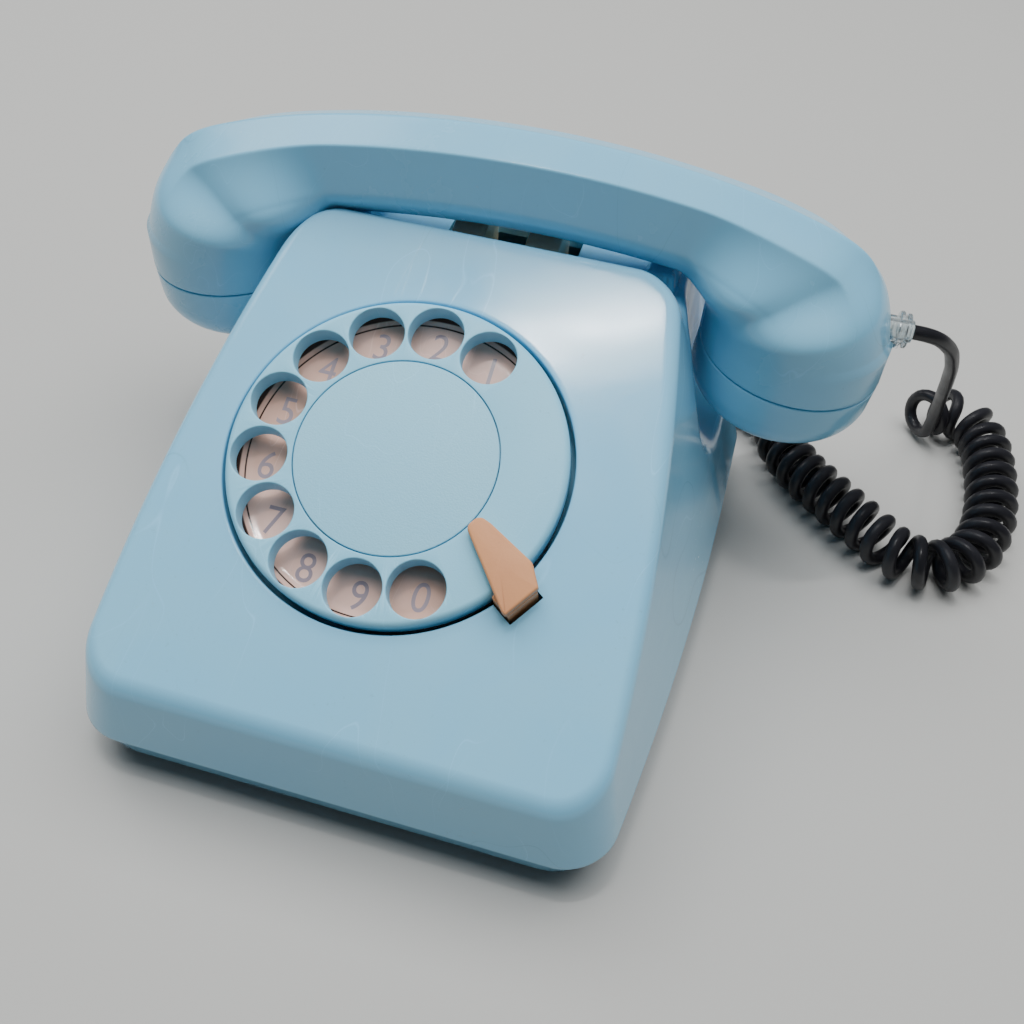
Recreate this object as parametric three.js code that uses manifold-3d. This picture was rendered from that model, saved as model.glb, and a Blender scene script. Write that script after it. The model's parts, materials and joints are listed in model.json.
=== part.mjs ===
// Rotary desk telephone, in millimetres, +Z up.
// The origin is on the surface it stands on, under the middle of the telephone with its handset.
// +X runs along the handset to the right, -Y is the front.

import * as THREE from 'three';
import { mergeVertices } from 'three/addons/utils/BufferGeometryUtils.js';
import { ParametricGeometry } from 'three/addons/geometries/ParametricGeometry.js';
import Module from 'manifold-3d';

const wasm = await Module();
wasm.setup();

// ---------------------------------------------------------------- driving dimensions

const gap = 0.3; // between pieces that touch
const wall = 2.5; // moulded plastic

const footHeight = 3.6;
const seamZ = 13.8; // joint between the housing and its base
const bodyDepth = 180.6;
const frontY = -bodyDepth / 2;
const rearY = bodyDepth / 2;
const seamHalfWidth = 82.3; // widest, near the rear
const shellTop = 108; // the walls are ruled up to this height, then cut by the side outline

const faceTilt = THREE.MathUtils.degToRad(25);
const faceFrontY = -86.2;
const faceRearY = 44.7;
const faceRearZ = 97.4;

const dialX = -5;
const dialY = -19.7;
const dialZ = 70.5; // middle of the finger wheel's upper side
const wheelProud = 2.8; // wheel above the sloping face
const wheelRadius = 45;
const wheelThickness = 5.8; // rim and finger holes; the web in the middle is thinner
const holeCircle = 36.5;
const holeRadius = 7.65;
const holeStep = 360 / 14;
const firstHole = 64.3; // digit 1, from +X, anticlockwise
const holeCount = 10;
const discRadius = 27.2;
const recessRadius = 47;
const recessDepth = 13.5;
const stopAngle = -35;

const troughFrontY = 48.2;
const troughRearY = 74;
const troughZ = 86.5;
const ridgeZ = 96;

const handsetX = 3; // it sits a little to the right of the body's middle
const bodyX = -handsetX; // everything below is laid out from the body's middle
const handsetY = 58.8;
const handsetZ = 69.3; // joint between the cups and their caps
const handsetTurn = THREE.MathUtils.degToRad(2.5); // it lies a little askew in the cradle
const cupX = 86.5;
const cupRadius = 27.5;
const cupTilt = THREE.MathUtils.degToRad(5.4); // each cap faces a little inward
const scoopRadius = 34;
const gripTop = 54.5; // above the cap joint, at mid length
const gripBottom = 27.2;
const gripEndX = 47; // where the underside turns down into the cup
const cupFillet = 12;
const capWall = 8;
const capDepth = 25;
const capsuleRadius = 23;

const cordRadius = 2.15;
const coilRadius = 8.8;

// ---------------------------------------------------------------- materials

const finishes = {
  shell: { color: 0x9bc2cf, roughness: 0.32, metalness: 0 },
  wheel: { color: 0xa3cbd2, roughness: 0.38, metalness: 0 },
  plate: { color: 0xc9b3ad, roughness: 0.3, metalness: 0 },
  stop: { color: 0xc99a74, roughness: 0.45, metalness: 0 },
  cream: { color: 0xd9d2b4, roughness: 0.45, metalness: 0 },
  rubber: { color: 0x24262a, roughness: 0.7, metalness: 0 },
  clear: { color: 0xdfe8ea, roughness: 0.1, metalness: 0 },
  steel: { color: 0x9a9c9e, roughness: 0.35, metalness: 1 },
  brass: { color: 0xb79a5c, roughness: 0.3, metalness: 1 },
  board: { color: 0xb08a4e, roughness: 0.6, metalness: 0 },
  dark: { color: 0x303338, roughness: 0.5, metalness: 0 },
};

// ---------------------------------------------------------------- shape helpers

const radians = THREE.MathUtils.degToRad;

/** A closed geometry as a manifold solid. */
function solid(geometry) {
  const bare = geometry.index ? geometry.toNonIndexed() : geometry.clone();
  bare.deleteAttribute('normal');
  bare.deleteAttribute('uv');
  const merged = mergeVertices(bare, 1e-4);
  const index = merged.index.array;
  const kept = [];
  for (let i = 0; i < index.length; i += 3) {
    const [a, b, c] = [index[i], index[i + 1], index[i + 2]];
    if (a !== b && b !== c && c !== a) kept.push(a, b, c);
  }
  return new wasm.Manifold(new wasm.Mesh({
    numProp: 3,
    vertProperties: new Float32Array(merged.attributes.position.array),
    triVerts: new Uint32Array(kept),
  }));
}

/** A manifold solid as a geometry. */
function geometryOf(manifold) {
  const mesh = manifold.getMesh();
  const geometry = new THREE.BufferGeometry();
  geometry.setAttribute('position', new THREE.BufferAttribute(mesh.vertProperties, 3));
  geometry.setIndex(new THREE.BufferAttribute(mesh.triVerts, 1));
  return geometry;
}

const join = (first, ...rest) => rest.reduce((sum, piece) => sum.add(piece), first);
const cut = (first, ...rest) => rest.reduce((left, piece) => left.subtract(piece), first);

function boxGeometry(x0, x1, y0, y1, z0, z1) {
  const geometry = new THREE.BoxGeometry(x1 - x0, y1 - y0, z1 - z0);
  return geometry.translate((x0 + x1) / 2, (y0 + y1) / 2, (z0 + z1) / 2);
}

/** An upright cylinder, or a cone when topRadius is given. */
function cylinderGeometry(radius, z0, z1, sides = 32, topRadius = radius) {
  const geometry = new THREE.CylinderGeometry(topRadius, radius, z1 - z0, sides);
  return geometry.rotateX(Math.PI / 2).translate(0, 0, (z0 + z1) / 2);
}

/** A turned piece about Z. The profile runs from the axis or back to its own start, either way round. */
function turned(profile, sides = 48) {
  const points = profile.map(([r, z]) => new THREE.Vector2(r, z));
  if (THREE.ShapeUtils.area(points) < 0) points.reverse();
  return new THREE.LatheGeometry(points, sides).rotateX(Math.PI / 2);
}

/** A washer or tube about Z. */
function ringGeometry(inner, outer, z0, z1, sides = 48) {
  return turned([[inner, z0], [outer, z0], [outer, z1], [inner, z1], [inner, z0]], sides);
}

/** A flat outline in XY, given thickness from z0 to z1. */
function plate(points, z0, z1) {
  const shape = new THREE.Shape(points.map(([x, y]) => new THREE.Vector2(x, y)));
  const geometry = new THREE.ExtrudeGeometry(shape, { depth: z1 - z0, bevelEnabled: false });
  return geometry.translate(0, 0, z0);
}

/** A round tube along a smooth curve. */
function tube(points, radius, sides, steps) {
  const path = new THREE.CatmullRomCurve3(points.map((p) => new THREE.Vector3(...p)));
  const section = new THREE.Shape();
  for (let i = 0; i < sides; i += 1) {
    const a = (2 * Math.PI * i) / sides;
    const [x, y] = [radius * Math.cos(a), radius * Math.sin(a)];
    if (i === 0) section.moveTo(x, y);
    else section.lineTo(x, y);
  }
  section.closePath();
  return new THREE.ExtrudeGeometry(section, { steps, extrudePath: path, bevelEnabled: false });
}

/** A skin through stations, each with a centre and a point at an angle; both ends close on a centre. */
function skinned(stations, sides) {
  const last = stations.length - 1;
  const place = (u, v, target) => {
    const row = Math.round(v * (last + 2));
    const station = stations[Math.min(Math.max(row - 1, 0), last)];
    const atEnd = row === 0 || row === last + 2;
    target.copy(atEnd ? station.centre : station.point(2 * Math.PI * (u % 1)));
  };
  return new ParametricGeometry(place, sides, last + 2);
}

/** A spur gear about Z with square-shouldered teeth. */
function gearGeometry(teeth, rootRadius, tipRadius, bore, z0, z1) {
  const outline = [];
  for (let i = 0; i < teeth; i += 1) {
    for (const [part, r] of [[0.0, rootRadius], [0.25, tipRadius], [0.5, tipRadius], [0.75, rootRadius]]) {
      const a = (2 * Math.PI * (i + part)) / teeth;
      outline.push([r * Math.cos(a), r * Math.sin(a)]);
    }
  }
  const blank = solid(plate(outline, z0, z1));
  return geometryOf(cut(blank, solid(cylinderGeometry(bore, z0 - 1, z1 + 1, 20))));
}

const model = new THREE.Group();
model.name = 'telephone';
model.position.x = bodyX;

/** Adds one named piece to a group. */
function add(name, shape, finish, parent = model) {
  const geometry = shape.isBufferGeometry ? shape : geometryOf(shape);
  const mesh = new THREE.Mesh(geometry, new THREE.MeshStandardMaterial(finishes[finish]));
  mesh.name = name;
  parent.add(mesh);
  return mesh;
}

// ---------------------------------------------------------------- housing

const faceZ = (y) => faceRearZ + (y - faceRearY) * Math.tan(faceTilt);

/** Half-width of the wall at the base joint, fuller toward the rear. */
const seamWidthAt = (y) => seamHalfWidth - 4.82e-4 * Math.max(0, 55.3 - y) ** 2;

/** Inward lean of the side wall, per millimetre of height, growing toward the rear. */
const leanAt = (y) => 0.281 + 0.00116 * y;

/** One level of the housing's plan: a rounded outline at height z, set in by inset. */
function housingRing(z, inset) {
  const rise = z - seamZ;
  const front = frontY + inset + rise * 0.135;
  const rear = rearY - inset - rise * 0.08;
  const corner = 13;
  const rearCorner = 12;
  const outline = [];
  const sideX = (y) => seamWidthAt(y) - rise * leanAt(y) - inset;
  const arc = (centreY, radius, from, to, count) => {
    for (let i = 0; i <= count; i += 1) {
      const a = radians(from + ((to - from) * i) / count);
      const y = centreY + radius * Math.sin(a);
      outline.push([sideX(centreY) - radius + radius * Math.cos(a), y]);
    }
  };
  arc(front + corner, corner, -90, 0, 6);
  for (const part of [0.2, 0.4, 0.6, 0.8]) {
    const y = front + corner + part * (rear - rearCorner - front - corner);
    outline.push([sideX(y), y]);
  }
  arc(rear - rearCorner, rearCorner, 0, 90, 4);
  const mirrored = outline.slice().reverse().map(([x, y]) => [-x, y]);
  return outline.concat(mirrored).map(([x, y]) => new THREE.Vector3(x, y, z));
}

/** A station of a skin from a ring of points, looked up by angle. */
function ringStation(ring, z) {
  const point = (a) => ring[Math.round((a / (2 * Math.PI)) * ring.length) % ring.length];
  return { centre: new THREE.Vector3(0, 0, z), point };
}

/** Drafted walls between two levels. */
function draftedBlock(z0, z1, inset) {
  const stations = [z0, z1].map((z) => ringStation(housingRing(z, inset), z));
  return skinned(stations, housingRing(z0, inset).length);
}

/** The side outline, set in by t: front wall, sloping face, cradle trough, rear ridge. */
function sideOutline(t, z0) {
  const drop = t / Math.cos(faceTilt);
  const near = frontY - 5;
  const far = rearY + 5;
  return [
    [near, z0],
    [near, faceZ(near) - drop],
    [faceRearY - t * 0.6, faceZ(faceRearY - t * 0.6) - drop],
    [troughFrontY - t, troughZ - t],
    [troughRearY + t, troughZ - t],
    [troughRearY + 3.5 + t, ridgeZ - t],
    [rearY - 9, ridgeZ - t],
    [far, ridgeZ - t - 6],
    [far, z0],
  ];
}

/** The housing as a full block, set in by t all over. */
function housingBlock(t, z0) {
  const profile = plate(sideOutline(t, z0), -100, 100);
  profile.rotateX(Math.PI / 2).rotateZ(Math.PI / 2);
  return solid(draftedBlock(z0, shellTop, t)).intersect(solid(profile));
}

/** Stands a piece made about Z on the sloping face, at the dial's middle. */
function onFace(geometry) {
  return geometry.rotateX(faceTilt).translate(dialX, dialY, dialZ);
}

/** A bowl-bottomed hollow beside the cradle, where a cup hangs. */
function scoop(radius, floorZ, sides) {
  const profile = [[0, floorZ]];
  for (let i = 1; i <= 4; i += 1) {
    const a = radians(22.5 * i);
    profile.push([radius * Math.sin(a), floorZ + 20 * (1 - Math.cos(a))]);
  }
  profile.push([radius + 1.5, 90], [radius + 3, 130], [0, 130]);
  return turned(profile, sides);
}

const scoopFloorZ = 33;
const scoops = (radius, floorZ, sides) => [-1, 1].map(
  (side) => solid(scoop(radius, floorZ, sides).translate(side * cupX + handsetX, handsetY, 0)),
);

/** The rear corners of the sloping face, cut off slantwise above the trough. */
const cornerCuts = (inset) => [-1, 1].map((side) => {
  const [dx, dy] = [0.683 * inset, 0.73 * inset];
  const outline = [[39.2 - dx, 52 - dy], [59.5 - dx, 33 - dy], [75, 33 - dy], [75, 52 - dy]];
  return solid(plate(outline.map(([x, y]) => [side * x, y]), troughZ - inset, 120));
});

const hookX = 3;
const hookSlot = boxGeometry(hookX - 20, hookX + 20, 49, 69, 70, 100);
const restBlocks = [-1, 1].map((side) => {
  const x = handsetX + side * 45.5;
  return solid(boxGeometry(x - 4.5, x + 4.5, 51, 67, troughZ - 1, 92.3));
});

const screwPlaces = [[-62, -62], [62, -62], [-66, 64], [66, 64]];

const stopNotchGeometry = () => onFace(
  boxGeometry(43, 53.5, -5.4, 5.4, -recessDepth, 5).rotateZ(radians(stopAngle)),
);

function makeHousing() {
  const outer = cut(housingBlock(0, seamZ), ...scoops(scoopRadius, scoopFloorZ, 24), ...cornerCuts(0));
  const inner = cut(
    housingBlock(wall, seamZ - 5), ...scoops(scoopRadius + wall, scoopFloorZ - wall, 16), ...cornerCuts(wall),
  );
  const well = onFace(cylinderGeometry(recessRadius + wall, -recessDepth - wall, 0, 32));
  const bored = onFace(cylinderGeometry(recessRadius, -recessDepth, 20, 36));
  const hub = onFace(cylinderGeometry(9, -recessDepth - wall - 1, 0, 24));
  const notchBlock = onFace(boxGeometry(43, 56, -8, 8, -recessDepth - wall, -2).rotateZ(radians(stopAngle)));
  const lip = onFace(ringGeometry(recessRadius, recessRadius + 1.6, -3, -wheelProud + 0.5, 36));
  const bodyBlock = join(solid(well), solid(notchBlock)).intersect(outer);
  const bosses = screwPlaces.map(([x, y]) => (
    solid(cylinderGeometry(4.5, seamZ, 60, 12).translate(x, y, 0)).intersect(outer)
  ));
  const shell = join(cut(outer, inner), bodyBlock, ...restBlocks, ...bosses);
  const pilots = screwPlaces.map(([x, y]) => (
    solid(cylinderGeometry(1.6, seamZ - 1, 26, 8).translate(x, y, 0))
  ));
  const open = cut(shell, solid(bored), solid(hub), solid(stopNotchGeometry()), solid(hookSlot),
    ...pilots, rearOpenings());
  return join(open, solid(lip).subtract(solid(stopNotchGeometry())));
}

const cordInletX = 46;
const lineInletX = -46;
const inletZ = 26;

/** Two round holes through the rear wall. */
function rearOpenings() {
  const hole = (x) => solid(
    new THREE.CylinderGeometry(5, 5, 20, 24).translate(x, rearY - 3, inletZ),
  );
  return join(hole(cordInletX), hole(lineInletX));
}

add('housing', makeHousing(), 'shell');

// ---------------------------------------------------------------- base

const baseTop = seamZ - gap;
const floorTop = 6;

/** One level of the base tray: it tapers inward toward the bottom. */
function baseLevels(z0, z1, inset) {
  return [z0, z1].map((z) => {
    const ring = housingRing(seamZ, inset + 0.8 + (seamZ - z) * 0.28);
    ring.forEach((corner) => corner.setZ(z));
    return ringStation(ring, z);
  });
}

function makeBase() {
  const sides = housingRing(seamZ, 0).length;
  const tray = solid(skinned(baseLevels(footHeight, baseTop, 0), sides));
  const hollow = solid(skinned(baseLevels(floorTop, baseTop + 1, wall), sides));
  const columns = screwPlaces.map(([x, y]) => (
    solid(cylinderGeometry(5, floorTop - 1, baseTop, 12).translate(x, y, 0))
  ));
  const bores = screwPlaces.map(([x, y]) => join(
    solid(cylinderGeometry(1.9, 0, 20, 10).translate(x, y, 0)),
    solid(cylinderGeometry(3.6, 0, 6.5, 12).translate(x, y, 0)),
  ));
  return cut(join(cut(tray, hollow), ...columns), ...bores);
}

add('base_plate', makeBase(), 'shell');

const footPlaces = [[-60, -74], [60, -74], [-64, 78], [64, 78]];
footPlaces.forEach(([x, y], i) => {
  const foot = turned([[0, 0], [5.4, 0], [6.6, 1], [7, footHeight - gap], [0, footHeight - gap]], 16);
  add(`foot_${i + 1}`, foot.translate(x, y, 0), 'rubber');
});

screwPlaces.forEach(([x, y], i) => {
  const shank = turned([[0, 4.2], [3.2, 4.2], [3.2, 6.2], [1.3, 6.2], [1.3, 22], [0, 23]], 16);
  const driver = boxGeometry(-2.6, 2.6, -0.4, 0.4, 3, 4.9);
  add(`base_screw_${i + 1}`, cut(solid(shank), solid(driver)).translate(x, y, 0), 'steel');
});

// ---------------------------------------------------------------- dial
// Everything here is made about the dial's own axis: z = 0 is the wheel's upper side.

const dial = new THREE.Group();
dial.position.set(dialX, dialY, dialZ);
dial.rotation.x = faceTilt;
model.add(dial);

const hubRadius = 7;
const shaftRadius = 2.8;
const gearZ = -33;
const gearTeeth = 36;
const pinionTeeth = 12;
const gearTip = 24.6;
const pinionTip = 8.8;
const pinionX = -(gearTip + pinionTip + 0.4);
const wormY = gearTip + 3 + 0.4;

function makeWheel() {
  const seat = discRadius + gap;
  const blank = solid(turned([
    [shaftRadius + gap, -12], [hubRadius, -12], [hubRadius, -3.4], [27.6, -3.4], [27.6, -wheelThickness],
    [wheelRadius - 0.8, -wheelThickness], [wheelRadius, -5], [wheelRadius, -0.9], [wheelRadius - 1, 0],
    [seat, 0], [seat, -1.9], [shaftRadius + gap, -1.9], [shaftRadius + gap, -12],
  ], 36));
  const holes = [];
  for (let i = 0; i < holeCount; i += 1) {
    const a = radians(firstHole + holeStep * i);
    const hole = cylinderGeometry(holeRadius, -wheelThickness - 1, 1, 16);
    holes.push(solid(hole.translate(holeCircle * Math.cos(a), holeCircle * Math.sin(a), 0)));
  }
  return cut(blank, ...holes);
}

/** Tapered tongue above the wheel, with a foot that drops into the notch beside it. */
function makeStop() {
  const tongue = plate([
    [28.4, 2.6], [29, 1.4], [39.6, -2], [50.8, -5.5], [52, -5.5], [52, 5.2], [46.4, 8], [43.5, 7.9], [32, 6.9],
    [29.2, 6], [28.3, 4.4],
  ], 0.6, 3.4);
  const foot = boxGeometry(wheelRadius + 0.8, 52.4, -4.9, 4.9, -recessDepth + gap, 1);
  return join(solid(tongue), solid(foot));
}

/** Flat spiral strip, wound about the shaft. */
function makeReturnSpring() {
  const turns = 4;
  const steps = 60;
  const radiusAt = (part) => 6 + 11 * part;
  const side = (shift) => Array.from({ length: steps + 1 }, (_, i) => {
    const a = 2 * Math.PI * turns * (i / steps);
    const r = radiusAt(i / steps) + shift;
    return [r * Math.cos(a), r * Math.sin(a)];
  });
  return plate([...side(0.35), ...side(-0.35).reverse()], -28, -24);
}

function makeDialFrame() {
  const table = solid(cylinderGeometry(42, -40, -38.5, 28));
  const pillars = [30, 150, 270].map((a) => (
    solid(cylinderGeometry(2.5, -39, -16.4, 16).translate(31 * Math.cos(radians(a)), 31 * Math.sin(radians(a)), 0))
  ));
  const cheeks = [-24, 28.7].map((x) => cut(
    solid(boxGeometry(x, x + 2, wormY - 4, wormY + 4, -39, -28)),
    solid(new THREE.CylinderGeometry(1.9, 1.9, 8, 16).rotateZ(Math.PI / 2).translate(x + 1, wormY, gearZ + 1)),
  ));
  const bearing = solid(cylinderGeometry(shaftRadius + gap, -42, -36, 20));
  const pinionBearing = solid(cylinderGeometry(1.8, -42, -36, 16).translate(pinionX, 0, 0));
  return cut(join(table, ...pillars, ...cheeks), bearing, pinionBearing);
}

function makeChassis() {
  const pan = solid(turned([
    [hubRadius + 0.6, -11.7], [wheelRadius, -11.7], [wheelRadius, -13.2], [8.6, -13.2], [8.6, -22],
    [shaftRadius + gap, -22], [shaftRadius + gap, -12.6], [hubRadius + 0.6, -12.6], [hubRadius + 0.6, -11.7],
  ], 24));
  const posts = [0, 120, 240].map((a) => (
    solid(cylinderGeometry(2.5, -12.5, -9.9, 16).translate(20 * Math.cos(radians(a)), 20 * Math.sin(radians(a)), 0))
  ));
  return join(pan, ...posts);
}

function makePinion() {
  const pinion = solid(gearGeometry(pinionTeeth, 7.2, pinionTip, 1.2, gearZ, gearZ + 2))
    .rotate([0, 0, (-0.875 * 360) / pinionTeeth]);
  const spindle = solid(cylinderGeometry(1.5, -40, -25, 16));
  const cam = solid(cylinderGeometry(7, -30, -28, 32));
  const flats = [-1, 1].map((side) => solid(boxGeometry(-8, 8, side * 7.2 - 2, side * 7.2 + 2, -31, -27)));
  return join(pinion, spindle, cut(cam, ...flats)).translate([pinionX, 0, 0]);
}

/** Worm, spindle and two brake weights, turning about X. */
function makeGovernor() {
  const spindle = solid(cylinderGeometry(1.5, -25, 30.5, 12));
  const worm = solid(cylinderGeometry(3, -6, 6, 20));
  const weights = solid(cylinderGeometry(4.5, 20, 26, 20));
  const slots = [-1, 1].map((side) => solid(boxGeometry(side * 4 - 1.5, side * 4 + 1.5, -0.5, 0.5, 19, 27)));
  const rotor = join(spindle, worm, cut(weights, ...slots));
  return rotor.rotate([0, 90, 0]).translate([0, wormY, gearZ + 1]);
}

/** A cup round the brake weights, hung on a lug from the outer cheek. */
function makeGovernorCup() {
  const cup = turned([[2.2, 28.4], [5.9, 28.4], [5.9, 20], [5, 20], [5, 27.6], [2.2, 27.6], [2.2, 28.4]], 24);
  return cup.rotateY(Math.PI / 2).translate(0, wormY, gearZ + 1);
}

/** Two leaf springs in an insulating block beside the cam. */
function makeContacts() {
  const block = solid(boxGeometry(pinionX - 6, pinionX + 6, -24, -14, -38.2, -26));
  const leaves = [-11.6, -9.4].map((y) => solid(boxGeometry(pinionX - 4, pinionX + 4, y, y + 0.5, -31, -27)));
  const arms = [-4, 2].map((x) => solid(boxGeometry(pinionX + x, pinionX + x + 2, -15, -8.9, -30, -29)));
  return join(block, ...arms, ...leaves);
}

const discProfile = [[0, -1.6], [discRadius, -1.6], [discRadius, -0.3], [discRadius - 0.4, 0], [0, 0]];
const bowlProfile = [
  [7.8, -8.6], [40.5, -8.6], [43.4, -7.8], [45.4, -6.4], [45.4, -7.8], [43.5, -9.1], [40.6, -9.6], [7.8, -9.6],
  [7.8, -8.6],
];
add('finger_wheel', makeWheel(), 'wheel', dial);
add('centre_disc', turned(discProfile, 32), 'wheel', dial);
add('number_plate', turned(bowlProfile, 28), 'plate', dial);
add('finger_stop', makeStop().rotate([0, 0, stopAngle]), 'stop', dial);
add('dial_chassis', makeChassis(), 'steel', dial);
add('dial_shaft', cylinderGeometry(shaftRadius, -41, -2.2, 24), 'steel', dial);
add('return_spring', makeReturnSpring(), 'steel', dial);
const driveGear = gearGeometry(gearTeeth, 23, gearTip, shaftRadius + gap, gearZ, gearZ + 2);
add('drive_gear', driveGear.rotateZ(radians((-0.375 * 360) / gearTeeth)), 'brass', dial);
add('dial_frame', makeDialFrame(), 'steel', dial);
add('pulse_pinion', makePinion(), 'brass', dial);
add('governor', makeGovernor(), 'brass', dial);
add('governor_cup', makeGovernorCup(), 'steel', dial);
add('pulse_contacts', makeContacts(), 'dark', dial);

// ---------------------------------------------------------------- hook switch

const tabCentres = [hookX - 11, hookX + 11];

/** Two tabs that the grip presses down, on one bridge with a stem. */
function makeHook() {
  const tabs = tabCentres.map((x) => {
    const side = plate([[51, 76], [67, 76], [67, 95.2], [56, 95.2], [51, 93.6]], x - 5, x + 5);
    return solid(side.rotateX(Math.PI / 2).rotateZ(Math.PI / 2));
  });
  const bridge = solid(boxGeometry(hookX - 16, hookX + 16, 54, 64, 72, 78));
  const stem = solid(boxGeometry(hookX - 3, hookX + 3, 56, 62, 60, 73));
  return join(bridge, stem, ...tabs);
}

function makeHookSwitch() {
  const block = solid(boxGeometry(hookX - 12, hookX + 12, 50, 68, 38, 52));
  const guide = solid(boxGeometry(hookX - 5, hookX + 5, 54, 64, 51, 64));
  const way = solid(boxGeometry(hookX - 3.4, hookX + 3.4, 55.6, 62.4, 55, 70));
  return cut(join(block, guide), way);
}

add('hook_plunger', makeHook(), 'cream');
add('hook_switch', makeHookSwitch(), 'dark');

// ---------------------------------------------------------------- handset
// Made about its own middle: z = 0 is the joint between the cups and their caps.

const handset = new THREE.Group();
handset.position.set(handsetX, handsetY, handsetZ);
handset.rotation.z = handsetTurn;
model.add(handset);

const archDrop = (x) => 0.00145 * x ** 2 + 3.8e-8 * x ** 4;
const filletZ = gripBottom - archDrop(gripEndX) - cupFillet;
const [endX, endZ, endRadius] = [62.1, -0.24, 51.9]; // the end's outside, an arc in the side view

/** Distance from the fillet's centre to the outside of the handset's end, at an angle above level. */
function endReach(angle) {
  const [c, s] = [Math.cos(angle), Math.sin(angle)];
  const [px, pz] = [gripEndX, filletZ];
  let archReach = 60;
  for (let i = 0; i < 8; i += 1) {
    const x = px + archReach * c;
    const above = pz + archReach * s - gripTop + archDrop(x);
    archReach -= above / (s + (0.0029 * x + 1.52e-7 * x ** 3) * c);
  }
  if (c < 0.42) return archReach;
  const [dx, dz] = [px - endX, pz - endZ];
  const toward = dx * c + dz * s;
  const arc = Math.sqrt(toward ** 2 + endRadius ** 2 - dx ** 2 - dz ** 2) - toward;
  const round = 3;
  const blend = Math.max(0, round - Math.abs(archReach - arc)) / round;
  return Math.min(archReach, arc) - (blend ** 2 * round) / 4;
}

const gripSection = [
  [0, 0], [9, 0.06], [13, 0.29], [10.5, 0.85], [0, 1], [-10.5, 0.85], [-13, 0.29], [-9, 0.06],
];
/** A point on a closed outline, part of the way round. */
function along(outline, part) {
  const at = part * outline.length;
  const i = Math.floor(at) % outline.length;
  const [a, b] = [outline[i], outline[(i + 1) % outline.length]];
  const f = at - Math.floor(at);
  return [a[0] + (b[0] - a[0]) * f, a[1] + (b[1] - a[1]) * f];
}

/**
 * A level of the handset between an inner and an outer point in XZ. The shares, for the inner and the
 * outer side, are 0 in the cup and 1 in the grip; the outer one changes sooner and leaves a shoulder.
 */
function handsetStation(inner, outer, innerShare, outerShare) {
  const point = (a) => {
    const turn = a - Math.PI / 2;
    const round = [cupRadius * Math.cos(turn), (1 + Math.sin(turn)) / 2];
    const flat = along(gripSection, a / (2 * Math.PI));
    const grip = innerShare + (outerShare - innerShare) * round[1] ** 1.5;
    const y = round[0] + (flat[0] - round[0]) * grip;
    const t = round[1] + (flat[1] - round[1]) * grip;
    return new THREE.Vector3(inner[0] + (outer[0] - inner[0]) * t, y, inner[1] + (outer[1] - inner[1]) * t);
  };
  const centre = new THREE.Vector3((inner[0] + outer[0]) / 2, 0, (inner[1] + outer[1]) / 2);
  return { centre, point };
}

/** Stations of one half, from the cup's joint to mid length. */
function halfStations(side) {
  const stations = [];
  const put = (inner, outer, innerShare, outerShare) => stations.push(
    handsetStation([side * inner[0], inner[1]], [side * outer[0], outer[1]], innerShare, outerShare),
  );
  for (const [z, share] of [[0, 1], [6, 0.5]]) {
    const tilt = cupRadius * Math.sin(cupTilt) * share;
    put([cupX - cupRadius, z + tilt], [cupX + cupRadius - z * 0.04, z - tilt], 0, 0);
  }
  for (const degrees of [0, 11, 20, 26, 30, 42, 56, 72, 90]) {
    const angle = radians(degrees);
    const reach = endReach(angle);
    const direction = [Math.cos(angle), Math.sin(angle)];
    const place = (r) => [gripEndX + r * direction[0], filletZ + r * direction[1]];
    const [innerShare, outerShare] = [[30, 80], [9, 25]].map(
      ([from, to]) => THREE.MathUtils.smoothstep(degrees, from, to),
    );
    put(place(cupFillet), place(reach), innerShare, outerShare);
  }
  for (const x of [32, 16]) put([x, gripBottom - archDrop(x)], [x, gripTop - archDrop(x)], 1, 1);
  return stations;
}

function makeHandset() {
  const middle = handsetStation([0, gripBottom], [0, gripTop], 1, 1);
  const left = halfStations(-1);
  const right = halfStations(1).reverse();
  const body = solid(skinned([...left, middle, ...right], 24));
  const hollows = [-1, 1].map((side) => (
    solid(cylinderGeometry(cupRadius - wall, -4, 20, 28, 19).translate(side * cupX, 0, 0))
  ));
  const sleeveBore = new THREE.CylinderGeometry(4.2, 4.2, 30, 24).rotateZ(Math.PI / 2).translate(112, 0, 13);
  return cut(body, ...hollows, solid(sleeveBore));
}

/** A deep cap with a ring of sound holes about a middle one. */
function makeCap(holeRings) {
  const top = -gap;
  const outer = [[0, -capDepth]];
  const inner = [[0, -capDepth + wall]];
  for (let i = 1; i <= 5; i += 1) {
    const a = radians(18 * i);
    const depth = (capDepth - capWall) * (1 - Math.cos(a));
    outer.push([cupRadius * Math.sin(a), -capDepth + depth]);
    inner.push([(cupRadius - wall) * Math.sin(a), -capDepth + wall + depth * 0.9]);
  }
  outer.push([cupRadius, top]);
  inner.push([cupRadius - wall, top]);
  const bowl = solid(turned([...outer, ...inner.reverse()], 24));
  const holes = holeRings.flatMap(([radius, count]) => Array.from({ length: count }, (_, i) => {
    const a = (2 * Math.PI * i) / count;
    return solid(cylinderGeometry(1.3, -40, -12, 6).translate(radius * Math.cos(a), radius * Math.sin(a), 0));
  }));
  return cut(bowl, ...holes);
}

const capsuleProfile = [
  [0, -10], [14, -10], [capsuleRadius - 1, -8], [capsuleRadius - 1, 2], [capsuleRadius - 4, 3],
  [10, 3], [10, 12], [0, 12],
];
const sleeveProfile = [
  [2.45, 110.5], [3.9, 110.5], [3.9, 113.9], [5.4, 113.9], [5.4, 115], [4.2, 115], [4.2, 116],
  [5, 116], [5, 117], [3.3, 117.4], [3.3, 118.2], [2.45, 118.2], [2.45, 110.5],
];

add('handset_shell', makeHandset(), 'shell', handset);
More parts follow.
